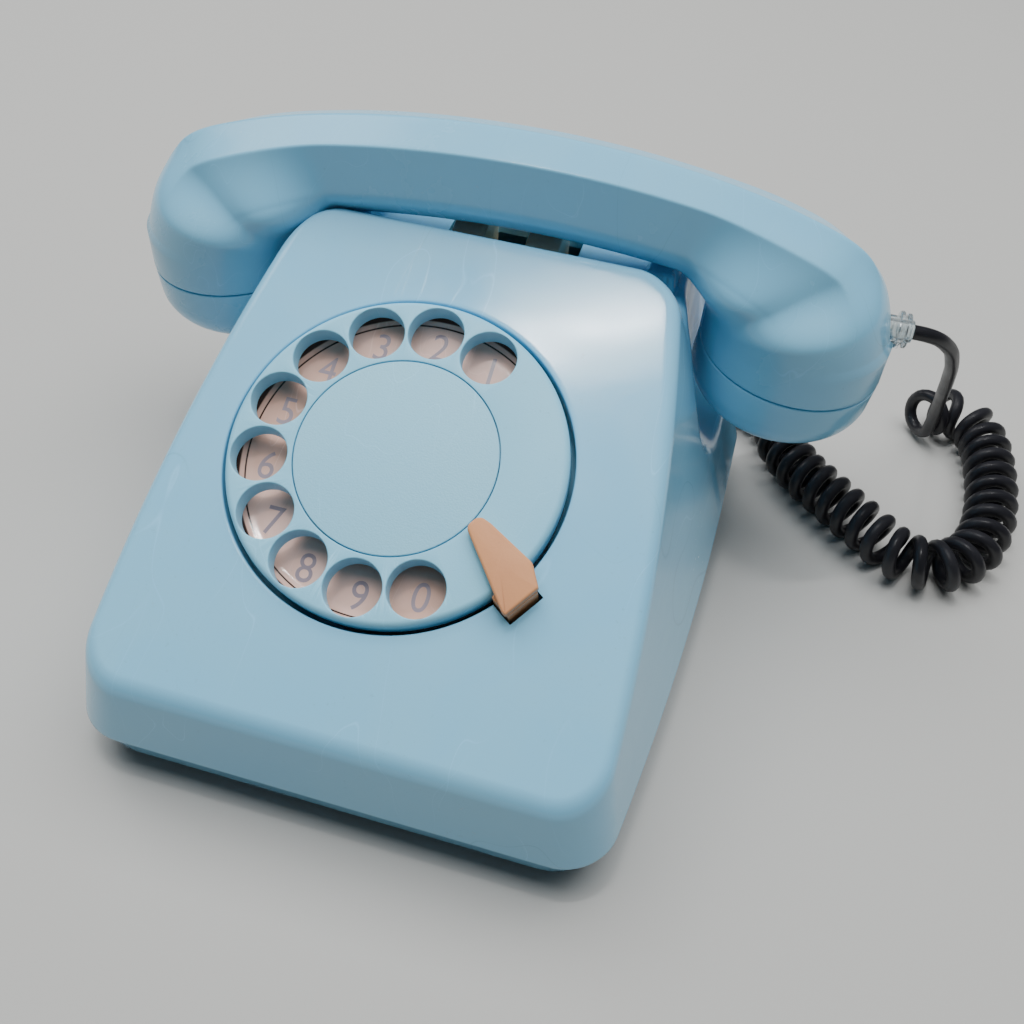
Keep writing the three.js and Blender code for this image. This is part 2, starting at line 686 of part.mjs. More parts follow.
/** Stands a geometry made about Z in the left (-1) or right (1) cup. */
const inCup = (geometry, side) => geometry.rotateY(side * cupTilt).translate(side * cupX, 0, 0);

add('mouth_cap', inCup(geometryOf(makeCap([[0, 1], [7, 5], [13, 8]])), -1), 'shell', handset);
add('ear_cap', inCup(geometryOf(makeCap([[0, 1], [8, 6]])), 1), 'shell', handset);
add('transmitter_capsule', inCup(turned(capsuleProfile, 18), -1), 'dark', handset);
add('receiver_capsule', inCup(turned(capsuleProfile, 18), 1), 'steel', handset);
add('cord_sleeve', turned(sleeveProfile, 16).rotateY(Math.PI / 2).translate(0, 0, 13), 'clear', handset);

// ---------------------------------------------------------------- circuit and bell

add('circuit_board', boxGeometry(-44, 44, -76, -46, 9.5, 11.1), 'board');
add('board_standoffs', boxGeometry(-40, 40, -63, -59, floorTop + gap, 9.2), 'cream');

function makeTransformer() {
  const core = solid(boxGeometry(14, 34, -70, -52, 11.4, 25));
  const winding = solid(cylinderGeometry(7, 13, 23.5, 24).translate(24, -61, 0));
  const windows = [15.5, 27].map((x) => solid(boxGeometry(x, x + 5.5, -75, -48, 14, 22.5)));
  return join(cut(core, ...windows), winding);
}

add('speech_transformer', makeTransformer(), 'dark');
const capacitorShape = new THREE.CylinderGeometry(5.5, 5.5, 26, 28).rotateZ(Math.PI / 2);
add('capacitor', capacitorShape.translate(-22, -61, 17.2), 'steel');

const terminalScrews = [-24, -8, 8, 24].map((x) => (
  solid(cylinderGeometry(2.4, 17, 18.6, 16).translate(x, 78, 0))
));
const terminalBase = solid(boxGeometry(-32, 32, 72, 83, floorTop + gap, 17.5));
add('terminal_block', join(terminalBase, ...terminalScrews), 'cream');

const gongX = 25;
const gongY = 44;
const gongArc = (radius, rise) => [0, 18, 36, 54, 72, 90].map(
  (degrees) => [radius * Math.sin(radians(degrees)), 12 + rise * Math.cos(radians(degrees))],
);
const gongProfile = [...gongArc(18.5, 10), ...gongArc(17.3, 8.8).reverse()];

[-1, 1].forEach((side) => {
  const name = side < 0 ? 'left' : 'right';
  const bored = cut(
    solid(turned(gongProfile, 18)),
    solid(cylinderGeometry(2.1, 10, 30, 16)),
  );
  add(`gong_${name}`, bored.translate([side * gongX, gongY, 0]), 'brass');
  const post = turned([[0, floorTop + gap], [4, floorTop + gap], [4, 8.5], [1.8, 8.5], [1.8, 24], [0, 24]], 20);
  add(`gong_post_${name}`, post.translate(side * gongX, gongY, 0), 'steel');
});

const clapperY = 8;

function makeBellCoil() {
  const yoke = solid(boxGeometry(-18, 18, clapperY - 14, clapperY - 4, floorTop + gap, 9));
  const coils = [-12, 12].map((x) => solid(cylinderGeometry(6, 8.5, 24, 28).translate(x, clapperY - 9, 0)));
  return join(yoke, ...coils);
}

/** Armature, rod and hammer on an upright pivot. */
function makeClapper() {
  const hub = solid(cylinderGeometry(3, 11, 17, 20).translate(0, clapperY + 3, 0));
  const armature = solid(boxGeometry(-14, 14, clapperY + 1, clapperY + 4, 12, 16));
  const rod = solid(boxGeometry(-0.8, 0.8, clapperY + 3, gongY - 1, 13.2, 14.8));
  const hammer = solid(cylinderGeometry(2.4, 12, 16, 20).translate(0, gongY, 0));
  return cut(join(hub, armature, rod, hammer), solid(cylinderGeometry(1.7, 5, 20, 16).translate(0, clapperY + 3, 0)));
}

const pivotProfile = [[0, floorTop + gap], [4, floorTop + gap], [4, 10.6], [1.3, 10.6], [1.3, 19], [0, 19]];
add('bell_coil', makeBellCoil(), 'dark');
add('clapper', makeClapper(), 'steel');
add('clapper_pivot', turned(pivotProfile, 20).translate(0, clapperY + 3, 0), 'steel');

// ---------------------------------------------------------------- cord and inlets

const rearWallY = rearY - (inletZ - seamZ) * 0.08;

/** A grommet about +Y through the rear wall, flange outside. */
function grommet(x, profile) {
  return turned(profile.map(([r, y]) => [r, -y]), 16).rotateX(Math.PI / 2).translate(x, rearWallY, inletZ);
}

add('line_inlet', grommet(lineInletX, [
  [2.6, -5], [4.6, -5], [4.6, 0.8], [5.8, 0.8], [5.8, 1.2], [2.6, 1.2], [2.6, -5],
]), 'dark');
add('cord_gland', grommet(cordInletX, [
  [2.45, -5], [4.6, -5], [4.6, 0.9], [6.4, 0.9], [6.4, 2.6], [4.4, 2.4], [3.3, 13], [2.45, 13], [2.45, -5],
]), 'rubber');

const turnedPoint = (x, z) => [
  handsetX + x * Math.cos(handsetTurn), handsetY + x * Math.sin(handsetTurn), handsetZ + z,
];
const tailRoute = [
  turnedPoint(118.5, 13), [127.5, 65.2, 81.2], [133.5, 70, 75.5], [138, 78, 65], [141.3, 88, 51.5],
  [144, 98, 38], [146, 106, 26.5], [146.8, 110.6, 17], [146.2, 112.2, 11.4],
];
const coilRoute = [
  [144, 118.5, 10.4], [150, 123.2, 9.6], [156.5, 125, 9.1], [163.2, 120.6, 9.1], [167.6, 111, 9.1],
  [169.4, 98, 9.1], [169.8, 83.5, 9.1], [168, 68.5, 9.1], [161.8, 54, 9.1], [152, 46.8, 9.1],
  [140.8, 48, 9.1], [129, 56.8, 9.1], [116.7, 67, 9.1], [105.5, 77, 9.1], [98.5, 86.5, 9.1],
  [95, 96, 9.1], [88.5, 105, 9.1], [78, 109.6, 9.1], [68, 110.6, 9.1],
];
const leadRoute = [
  [67.6, 110.8, 4.4], [60, 112.2, 5], [53, 113.4, 9], [48.4, 112.4, 15.5], [46.4, 108.6, 21.5],
  [46, 104.4, 25.2], [46, rearWallY + 13.3, 26],
];

add('cord_tail', tube(tailRoute, cordRadius, 8, 22), 'rubber');
add('cord_coil', tube(coilRoute, coilRadius, 10, 30), 'rubber');
add('cord_lead', tube(leadRoute, cordRadius, 8, 12), 'rubber');

export default model;
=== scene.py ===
import json
from math import cos, pi, radians, sin, tan

import bmesh
import bpy
import numpy as np
from mathutils import Matrix, Vector


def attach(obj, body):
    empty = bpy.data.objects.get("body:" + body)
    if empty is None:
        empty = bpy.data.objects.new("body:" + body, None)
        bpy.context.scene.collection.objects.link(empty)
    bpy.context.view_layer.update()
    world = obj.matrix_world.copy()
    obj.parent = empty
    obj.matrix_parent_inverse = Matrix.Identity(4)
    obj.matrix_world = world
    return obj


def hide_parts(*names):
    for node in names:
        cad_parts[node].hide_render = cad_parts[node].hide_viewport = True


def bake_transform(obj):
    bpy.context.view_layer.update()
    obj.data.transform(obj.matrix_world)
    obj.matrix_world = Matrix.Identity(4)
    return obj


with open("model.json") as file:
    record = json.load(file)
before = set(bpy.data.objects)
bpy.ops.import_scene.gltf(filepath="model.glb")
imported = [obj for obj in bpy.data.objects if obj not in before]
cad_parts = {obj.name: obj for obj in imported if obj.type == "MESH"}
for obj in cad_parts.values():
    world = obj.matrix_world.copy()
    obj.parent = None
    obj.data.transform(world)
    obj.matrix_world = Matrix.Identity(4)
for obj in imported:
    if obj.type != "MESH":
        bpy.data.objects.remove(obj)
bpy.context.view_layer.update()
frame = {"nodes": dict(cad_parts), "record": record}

mm = 0.001  # shapes below are worked out in millimetres, from the body's middle
bodyX = -3.0  # the body's middle stands this far from the part's origin


def inPart(points):
    # from millimetres about the body's middle to the part's own frame
    return (np.asarray(points) + np.array([bodyX, 0, 0])) * mm


cameraSetup = {
    "place": (0.0674, -0.2112, 0.2724),
    "right": (0.96050, 0.27359, 0.05097),
    "up": (-0.23466, 0.69774, 0.67683),
    "lens": 38.67,
}


def makeCamera(setup):
    camera = bpy.data.objects.new("camera", bpy.data.cameras.new("camera"))
    right, up = Vector(setup["right"]), Vector(setup["up"])
    camera.location = setup["place"]
    camera.rotation_euler = Matrix((right, up, right.cross(up))).transposed().to_euler()
    camera.data.lens = setup["lens"]
    bpy.context.scene.collection.objects.link(camera)
    bpy.context.scene.camera = camera


makeCamera(cameraSetup)
print("camera placed")

def gridFaces(rows, cols, closeRows):
    # quads between neighbouring rows and columns; columns always wrap round, rows only when closeRows
    row, col = np.meshgrid(np.arange(rows if closeRows else rows - 1), np.arange(cols), indexing="ij")
    nextRow, nextCol = (row + 1) % rows, (col + 1) % cols
    corners = [row * cols + col, row * cols + nextCol, nextRow * cols + nextCol, nextRow * cols + col]
    return np.stack(corners, -1).reshape(-1, 4)


def gridPiece(name, surface, closeRows=False, sharpAngle=50, places=None):
    # a closed skin from a (rows, cols, 3) array in mm: poles are merged and the faces point outwards
    rows, cols = surface.shape[:2]
    mesh = bpy.data.meshes.new(name)
    mesh.from_pydata(inPart(surface.reshape(-1, 3)).tolist(), [], gridFaces(rows, cols, closeRows).tolist())
    if places is not None:  # a pattern's own places, kept with the vertices
        attribute = mesh.attributes.new(f"{name}Place", "FLOAT_VECTOR", "POINT")
        attribute.data.foreach_set("vector", places.astype(np.float32).ravel())
    return finishPiece(name, mesh, sharpAngle)


def finishPiece(name, mesh, sharpAngle=50):
    work = bmesh.new()
    work.from_mesh(mesh)
    bmesh.ops.remove_doubles(work, verts=work.verts, dist=1e-6)
    if work.calc_volume(signed=True) < 0:
        bmesh.ops.reverse_faces(work, faces=work.faces)
    work.to_mesh(mesh)
    work.free()
    mesh.shade_smooth()
    mesh.set_sharp_from_angle(angle=radians(sharpAngle))
    piece = bpy.data.objects.new(name, mesh)
    bpy.context.scene.collection.objects.link(piece)
    return piece


def combine(piece, tool, operation):
    # joins the tool to the piece or takes it away, and drops the tool
    change = piece.modifiers.new("combine", "BOOLEAN")
    change.operation, change.object, change.solver = operation, tool, "MANIFOLD"
    bpy.context.view_layer.update()
    result = bpy.data.meshes.new_from_object(piece.evaluated_get(bpy.context.evaluated_depsgraph_get()))
    piece.modifiers.clear()
    piece.data = result
    result.name = piece.name
    bpy.data.objects.remove(tool)
    result.shade_smooth()
    result.set_sharp_from_angle(angle=radians(50))
    return piece


def joined(name, pieces):
    # several meshes as one
    work = bmesh.new()
    for piece in pieces:
        work.from_mesh(piece.data)
        bpy.data.objects.remove(piece)
    mesh = bpy.data.meshes.new(name)
    work.to_mesh(mesh)
    work.free()
    return finishPiece(name, mesh)


def roundedLine(points, radii, steps=7, closed=True):
    # a polygon whose corners are arcs of the given radii, each arc tangent to both its edges
    points = np.asarray(points, float)
    count = len(points)
    radii = np.broadcast_to(np.asarray(radii, float), (count,))
    line = []
    for i, corner in enumerate(points):
        if radii[i] <= 0 or (not closed and i in (0, count - 1)):
            line.append(corner)
            continue
        back, ahead = points[i - 1] - corner, points[(i + 1) % count] - corner
        backLength, aheadLength = np.linalg.norm(back), np.linalg.norm(ahead)
        back, ahead = back / backLength, ahead / aheadLength
        half = np.arccos(np.clip(back @ ahead, -1, 1)) / 2
        reach = min(radii[i] / tan(half), 0.48 * backLength, 0.48 * aheadLength)
        radius = reach * tan(half)
        centre = corner + (back + ahead) / np.linalg.norm(back + ahead) * radius / sin(half)
        start, stop = corner + back * reach - centre, corner + ahead * reach - centre
        turn = np.arctan2(start[0] * stop[1] - start[1] * stop[0], start @ stop)
        for part in np.linspace(0, 1, steps):
            a = turn * part
            line.append(centre + [start[0] * cos(a) - start[1] * sin(a),
                                  start[0] * sin(a) + start[1] * cos(a)])
    return np.array(line)


def turned(name, profile, cols=96, closed=False, place=None):
    # surface of revolution: radius and height go along the rows, the angle about Z along the columns
    a = np.arange(cols) * 2 * pi / cols
    r, z = np.asarray(profile, float).T
    surface = np.stack([np.outer(r, np.cos(a)), np.outer(r, np.sin(a)), np.repeat(z[:, None], cols, 1)], -1)
    return gridPiece(name, surface if place is None else place(surface), closed)


def slab(name, outline, low, high, edge, place, steps=6):
    # an outline with thickness: each row is the outline set in by edge * (1 - cos), raised by edge * sin
    ahead = np.roll(outline, -1, 0) - np.roll(outline, 1, 0)
    normal = np.stack([ahead[:, 1], -ahead[:, 0]], -1) / np.linalg.norm(ahead, axis=1)[:, None]
    area = np.sum(outline[:, 0] * np.roll(outline[:, 1], -1) - outline[:, 1] * np.roll(outline[:, 0], -1))
    normal = normal * np.sign(area)
    middle = outline.mean(0)
    angle = np.linspace(0, pi / 2, steps)
    inset = np.concatenate([edge * (1 - np.sin(angle)), edge * (1 - np.cos(angle))])
    height = np.concatenate([low + edge * (1 - np.cos(angle)), high - edge * (1 - np.sin(angle))])
    ring = outline[None] - normal[None] * inset[:, None, None]
    pole = np.broadcast_to(middle, ring[:1].shape)
    ring = np.concatenate([pole, ring, pole])
    height = np.concatenate([[low], height, [high]])
    surface = np.concatenate([ring, np.broadcast_to(height[:, None, None], ring.shape[:2] + (1,))], -1)
    return gridPiece(name, place(surface))


def resampled(lines, count, turnWeight, blurCols=9):
    # lines is (fine, cols, 3): each column is walked again in count rows, closer together where it turns
    step = np.diff(lines, axis=0)
    length = np.linalg.norm(step, axis=2)
    way = step / np.maximum(length, 1e-9)[..., None]
    turn = np.zeros_like(length)
    turn[1:] = np.arccos(np.clip(np.sum(way[1:] * way[:-1], -1), -1, 1))
    cost = length + turnWeight * turn
    cost = sum(np.roll(cost, k, 1) for k in range(-(blurCols // 2), blurCols // 2 + 1)) / blurCols
    total = np.concatenate([np.zeros((1, cost.shape[1])), np.cumsum(cost, 0)])
    total = total / total[-1]
    cols = lines.shape[1]
    shift = 2.0 * np.arange(cols)
    wanted = (np.linspace(0, 1, count)[:, None] + shift).T.ravel()
    known = (total + shift).T.ravel()
    rows = [np.interp(wanted, known, lines[..., k].T.ravel()).reshape(cols, count).T for k in range(3)]
    return np.stack(rows, -1)


dialPlace = {"middle": (-5.0, -19.7, 70.5), "tilt": 25.0}
handsetPlace = {"middle": (3.0, 58.8, 69.3), "turn": 2.5}


def onDial(points):
    # from the dial's own frame, z along its axis, to the telephone's
    t = radians(dialPlace["tilt"])
    x, y, z = points[..., 0], points[..., 1], points[..., 2]
    mx, my, mz = dialPlace["middle"]
    return np.stack([mx + x, my + y * cos(t) - z * sin(t), mz + y * sin(t) + z * cos(t)], -1)


def onHandset(points):
    # from the handset's own frame, x along it, to the telephone's
    t = radians(handsetPlace["turn"])
    x, y, z = points[..., 0], points[..., 1], points[..., 2]
    mx, my, mz = handsetPlace["middle"]
    return np.stack([mx + x * cos(t) - y * sin(t), my + x * sin(t) + y * cos(t), mz + z], -1)


def moved(dx, dy, dz):
    return lambda points: points + np.array([dx, dy, dz])


cordSetup = {
    "radius": 2.15,
    "coilRadius": 6.6,
    "sides": 12,
    "pointGap": 1.75,
    "pitches": [(0, 5.2), (14, 5.0), (40, 6.6), (75, 7.6), (110, 7.2), (160, 6.0), (215, 5.6)],
}
tailRoute = [
    (121.39, 63.97, 82.3), (124.4, 64.3, 82.1), (127.5, 65.2, 81.2), (133.5, 70, 75.5), (138, 78, 65),
    (141.3, 88, 51.5), (144, 98, 38), (146.2, 106, 26.5), (147.6, 111, 17.5),
]
coilRoute = [
    (144, 118.5, 10.4), (150, 123.2, 9.6), (156.5, 125, 9.1), (163.2, 120.6, 9.1), (167.6, 111, 9.1),
    (169.4, 98, 9.1), (169.8, 83.5, 9.1), (168, 68.5, 9.1), (161.8, 54, 9.1), (152, 46.8, 9.1),
    (140.8, 48, 9.1), (129, 56.8, 9.1), (116.7, 67, 9.1), (105.5, 77, 9.1), (98.5, 86.5, 9.1),
    (95, 96, 9.1), (88.5, 105, 9.1), (78, 109.6, 9.1), (68, 110.6, 9.1),
]
leadRoute = [
    (64.6, 107.2, 2.5), (59.5, 106.6, 3.4), (54, 109.2, 7.4), (49.6, 110.6, 13.8), (47.0, 108.4, 21.0),
    (46.05, 105.6, 25.0), (46, 104.1, 25.9), (46, 102.62, 26),
]
leadSides = [  # which way the section's first vector leans at each point of the lead
    (0, 0.2, -1), (0, 0.6, -1), (0, 1, -0.5), (0, 1, 0), (0, 1, 0.8), (0, 0.3, 1), (0, 0, 1), (0, 0, 1),
]


def smoothPath(control, gap):
    # a cubic through every control point, its slope there the average of its neighbours'; even steps of gap
    control = np.asarray(control, float)
    spans = np.linalg.norm(np.diff(control, axis=0), axis=1)
    knots = np.concatenate([[0], np.cumsum(spans)])
    slopes = np.gradient(control, knots, axis=0)
    at = np.linspace(0, knots[-1], int(knots[-1] / gap) + 1)
    i = np.clip(np.searchsorted(knots, at, side="right") - 1, 0, len(spans) - 1)
    h, t = spans[i][:, None], ((at - knots[i]) / spans[i])[:, None]
    line = (2 * t**3 - 3 * t**2 + 1) * control[i] + (t**3 - 2 * t**2 + t) * h * slopes[i]
    return line + (3 * t**2 - 2 * t**3) * control[i + 1] + (t**3 - t**2) * h * slopes[i + 1], at, knots


def coilPath(setup):
    # a helix about the coil's middle line: middle + radius * (side * cos(phase) + up * sin(phase)).
    # The phase runs at 2 pi per pitch, and the pitch opens in bends so that the inner side keeps clear.
    middle, at, _ = smoothPath(coilRoute, 0.25)
    way = np.gradient(middle, at, axis=0)
    way /= np.linalg.norm(way, axis=1)[:, None]
    heading = np.unwrap(np.arctan2(way[:, 1], way[:, 0]))
    bend = np.abs(np.gradient(heading, at))
    bend = np.convolve(np.pad(bend, 40, "edge"), np.ones(81) / 81, "valid")
    stated = np.interp(at, *zip(*setup["pitches"]))
    pitch = np.maximum(stated, 2.2 * setup["radius"] / np.maximum(1 - setup["coilRadius"] * bend, 0.35))
    turns = np.concatenate([[0], np.cumsum(np.diff(at) / pitch[1:])])
    turns *= (np.floor(turns[-1]) + 0.25) / turns[-1]  # it ends at the bottom of a turn
    phase = -2 * pi * turns
    side = np.stack([way[:, 1], -way[:, 0], 0 * phase], -1)
    side /= np.linalg.norm(side, axis=1)[:, None]
    up = np.array([0.0, 0.0, 1.0])
    out = side * np.cos(phase)[:, None] + up * np.sin(phase)[:, None]
    wanted = np.linspace(0, turns[-1], int(turns[-1] * 24))
    coil = middle + out * setup["coilRadius"]
    line = np.stack([np.interp(wanted, turns, coil[:, k]) for k in range(3)], -1)
    outward = np.stack([np.interp(wanted, turns, out[:, k]) for k in range(3)], -1)
    return line, outward, turns[-1]


def makeCord(setup):
    # a round section carried along tail, coil and lead, its side vector following the coil's outside
    coil, outward, turns = coilPath(setup)
    control = np.concatenate([tailRoute, coil, leadRoute])
    sides = np.concatenate([np.repeat(outward[:1], len(tailRoute), 0), outward, leadSides])
    path, at, knots = smoothPath(control, setup["pointGap"])
    way = np.gradient(path, at, axis=0)
    way /= np.linalg.norm(way, axis=1)[:, None]
    side = np.stack([np.interp(at, knots, sides[:, k]) for k in range(3)], -1)
    side -= way * np.sum(side * way, 1)[:, None]
    side /= np.linalg.norm(side, axis=1)[:, None]
    other = np.cross(way, side)
    a = np.arange(setup["sides"]) * 2 * pi / setup["sides"]
    ring = side[:, None] * np.cos(a)[:, None] + other[:, None] * np.sin(a)[:, None]
    surface = path[:, None] + setup["radius"] * ring
    ends = [np.repeat(path[k][None, None], setup["sides"], 1) for k in (0, -1)]
    surface = np.concatenate([ends[0], surface, ends[1]])
    along = np.concatenate([at[:1], at, at[-1:]])[:, None] + 0 * a
    places = np.stack([0 * along + np.cos(a), 0 * along + np.sin(a), along / setup["radius"]], -1)
    piece = gridPiece("cord", surface, places=places * setup["radius"] * mm)
    length = float(np.linalg.norm(np.diff(path, axis=0), axis=1).sum()) * mm
    print(f"cord: {turns:.1f} turns, {length:.3f} m")
    return piece, inPart(path), length


cord, cordPath, cordLength = makeCord(cordSetup)

def sleeveProfile():
    # radius against distance along the handset, ribbed, closed on itself
    ribs = [
        (2.3, 110.6), (3.9, 110.6), (3.9, 113.9), (5.4, 113.9), (5.4, 115.0), (4.1, 115.0), (4.1, 116.0),
        (5.0, 116.0), (5.0, 117.0), (3.3, 117.4), (3.3, 118.2), (2.3, 118.2),
    ]
    return roundedLine(ribs, 0.3, 5)


def alongX(points):
    return np.stack([points[..., 2], points[..., 1], points[..., 0] * -1], -1)


cordSleeve = turned("cord_sleeve_clear", sleeveProfile(), 64, True,
                    lambda p: onHandset(alongX(p) + np.array([0, 0, 13.0])))

rearWallY = 90.3 - (26 - 13.8) * 0.08


def grommetPlace(x):
    # a turned piece lying along +Y through the rear wall
    return lambda p: np.stack([x + p[..., 0], rearWallY + p[..., 2], 26 - p[..., 1]], -1)


glandProfile = roundedLine([
    (2.3, -5), (4.6, -5), (4.6, 0.9), (6.4, 0.9), (6.4, 2.4), (4.6, 2.9), (4.4, 4.6), (4.0, 4.9), (4.2, 5.4),
    (4.0, 7.2), (3.7, 7.5), (3.9, 8.0), (3.7, 9.8), (3.4, 10.1), (3.6, 10.6), (3.3, 13), (2.3, 13),
], 0.25, 4)
cordGland = turned("cord_gland_ribbed", glandProfile, 64, True, grommetPlace(46))
inletProfile = roundedLine([(2.6, -5), (4.6, -5), (4.6, 0.8), (5.8, 0.8), (5.8, 1.2), (2.6, 1.2)], 0.18, 4)
lineInlet = turned("line_inlet_ring", inletProfile, 64, True, grommetPlace(-46))
print("strain relief made")

shell = {
    "seamZ": 13.8, "frontY": -90.3, "rearY": 90.3, "halfWidth": 82.3, "wall": 2.5,
    "frontLean": 0.135, "rearLean": 0.08, "frontCorner": 13.0, "rearCorner": 12.0,
    "faceRear": (44.7, 97.4), "faceEdge": 3.2, "topCorner": 12.0,
    "troughY": (50.0, 74.0), "troughZ": 86.5, "ridgeZ": 96.0,
    "cupX": 86.5, "cupY": 58.8, "cupShift": 3.0, "scoopRadius": 31.5, "scoopFloor": 33.0, "scoopEdge": 2.0,
    "seamEdge": 0.45, "cols": 480, "outerRows": 104, "innerRows": 34,
}


def roundMax(a, b, radius):
    # the larger of two distances, with a rounded edge where they meet
    corner = np.hypot(np.maximum(a + radius, 0), np.maximum(b + radius, 0))
    return np.minimum(np.maximum(a, b), -radius) + corner


def roundMin(a, b, radius):
    return -roundMax(-a, -b, radius)


def wallField(x, y, z, inset):
    # distance outside the drafted walls: the sides bow out toward the rear, and the corners are round in plan
    rise = z - shell["seamZ"]
    halfWidth = shell["halfWidth"] - 4.82e-4 * np.maximum(0, 55.3 - y) ** 2 - rise * (0.281 + 0.00116 * y)
    side = np.abs(x) - halfWidth + inset
    front = shell["frontY"] + inset + rise * shell["frontLean"] - y
    rear = y - shell["rearY"] + inset + rise * shell["rearLean"]
    return roundMax(roundMax(side, front, shell["frontCorner"]), rear, shell["rearCorner"])


def housingField(x, y, z, inset):
    # front block under the sloping face, trough block and rear ridge, joined; then two cup hollows taken out
    walls = wallField(x, y, z, inset)
    tilt = radians(dialPlace["tilt"])
    face = (z - shell["faceRear"][1] - (y - shell["faceRear"][0]) * tan(tilt)) * cos(tilt) + inset
    above = z - shell["troughZ"]
    troughFront = (y - shell["troughY"][0] + 0.316 * above) * 0.95 + inset
    ridgeFront = (shell["troughY"][1] + 0.368 * above - y) * 0.94 + inset
    ridgeTop = roundMax(z - shell["ridgeZ"], (z - shell["ridgeZ"] + 0.43 * (y - 81.3)) * 0.92, 3) + inset
    frontBlock = roundMax(roundMax(walls, troughFront, shell["topCorner"]), face, shell["faceEdge"])
    troughBlock = roundMax(roundMax(walls, above + inset, 3), shell["troughY"][0] - 8 - y, 1)
    ridge = roundMax(roundMax(walls, ridgeFront, 5), ridgeTop, 2.5)
    body = roundMin(roundMin(frontBlock, troughBlock, 1.5), ridge, 1.5)
    if inset == 0:
        rest = roundMax(np.abs(np.abs(x - shell["cupShift"]) - 45.5) - 4.5 + 0.08 * above,
                        np.abs(y - 59) - 8 + 0.08 * above, 1.2)
        body = roundMin(body, roundMax(rest, z - 92.3, 1), 0.8)
    fromShift = x - shell["cupShift"]
    fromRow = y - shell["cupY"] - fromShift * sin(radians(handsetPlace["turn"]))
    reach = np.hypot(np.abs(fromShift) - shell["cupX"], fromRow)
    radius, bowlTop = shell["scoopRadius"], shell["scoopFloor"] + 20
    bowl = radius * (np.hypot(reach / radius, np.maximum(bowlTop - z, 0) / 20) - 1)
    scoop = np.where(z < bowlTop, bowl, reach - radius - 0.04 * (z - bowlTop))
    return roundMax(body, inset - scoop, shell["scoopEdge"])


def housingHeight(x, y, inset, floor):
    # the height where the field changes sign, by halving
    low, high = np.full(x.shape, floor), np.full(x.shape, 112.0)
    for _ in range(21):
        middle = (low + high) / 2
        inside = housingField(x, y, middle, inset) < 0
        low, high = np.where(inside, middle, low), np.where(inside, high, middle)
    return low


def outlineAt(z, inset, origin, way):
    # how far along each way from the origin the walls are met at one height
    low, high = np.zeros(len(way)), np.full(len(way), 200.0)
    for _ in range(30):
        middle = (low + high) / 2
        inside = wallField(origin[0] + middle * way[:, 0], origin[1] + middle * way[:, 1], z, inset) < 0
        low, high = np.where(inside, middle, low), np.where(inside, high, middle)
    return np.stack([origin[0] + low * way[:, 0], origin[1] + low * way[:, 1], np.full(len(way), z)], -1)


def dialRings(profile, cols):
    # rings about the dial's axis, one row for each (radius, height)
    a = np.arange(cols) * 2 * pi / cols
    r, z = np.asarray(profile, float).T
    rings = [np.outer(r, np.cos(a)), np.outer(r, np.sin(a)), np.repeat(z[:, None], cols, 1)]
    return onDial(np.stack(rings, -1))


def heightLines(start, stop, inset, floor, count):
    # straight lines in plan from start to stop, lifted onto the housing's surface
    part = np.linspace(0, 1, 640)[:, None, None]
    plan = start[None] * (1 - part) + stop[None] * part
    plan[..., 2] = housingHeight(plan[..., 0], plan[..., 1], inset, floor)
    return resampled(plan, count, 7.0)


def makeHousing():
    # one closed grid: dial well, lip, outer surface, rim at the base joint, inner surface, well's underside
    cols, seam, wall = shell["cols"], shell["seamZ"], shell["wall"]
    well = roundedLine([(9, -13.5), (46.9, -13.5), (46.9, -2.84), (48.6, -2.84)], [0, 1.0, 0.6, 0], 6, False)
    wellRows = dialRings(np.insert(well, 1, [(28, -13.5)], 0), cols)
    lip = wellRows[-1]
    origin = (dialPlace["middle"][0], dialPlace["middle"][1])
    way = lip[:, :2] - origin
    way /= np.linalg.norm(way, axis=1)[:, None]
    edge = shell["seamEdge"]
    outer = heightLines(lip, outlineAt(seam + edge, 0, origin, way), 0, seam + edge, shell["outerRows"])[1:]
    rimSteps = [(0.13, 0.13), (0, edge), (0, wall - edge), (0.13, wall)]
    rim = [outlineAt(seam + height, inset, origin, way) for height, inset in rimSteps]
    under = dialRings([(49.5, -4.1), (49.5, -15.6), (49.1, -16), (28, -16), (9, -16)], cols)
    innerFoot = outlineAt(seam + edge, wall, origin, way)
    inner = heightLines(innerFoot, under[0], wall, seam + edge, shell["innerRows"])[:-1]
    surface = np.concatenate([wellRows, outer, np.stack(rim), inner, under])
    return gridPiece("housing_shell", surface, closeRows=True, sharpAngle=60)


def boxTool(name, low, high, place=lambda p: p):
    x0, y0, z0 = low
    x1, y1, z1 = high
    outline = np.array([(x0, y0), (x1, y0), (x1, y1), (x0, y1)], float)
    ring = np.concatenate([outline, np.zeros((4, 1))], 1)
    middle = np.repeat(ring.mean(0)[None], 4, 0)
    rows = [middle + [0, 0, z0], ring + [0, 0, z0], ring + [0, 0, z1], middle + [0, 0, z1]]
    return gridPiece(name, place(np.stack(rows)))


stopAngle = -35.0


def turnedToStop(points):
    # turns a piece made along +X to the finger stop's place round the dial
    a = radians(stopAngle)
    x, y = points[..., 0], points[..., 1]
    return onDial(np.stack([x * cos(a) - y * sin(a), x * sin(a) + y * cos(a), points[..., 2]], -1))


housing = makeHousing()
holeProfile = [(0, -9), (5, -9), (5, 11), (0, 11)]
openings = [
    boxTool("notch", (43, -5.4, -13.45), (53.5, 5.4, 5), turnedToStop),
    boxTool("hookSlot", (-17, 49, 70), (23, 69, 100)),
    turned("cordHole", holeProfile, 40, False, grommetPlace(46)),
    turned("lineHole", holeProfile, 40, False, grommetPlace(-46)),
]
combine(housing, joined("openings", openings), "DIFFERENCE")
print("housing made", len(housing.data.polygons))

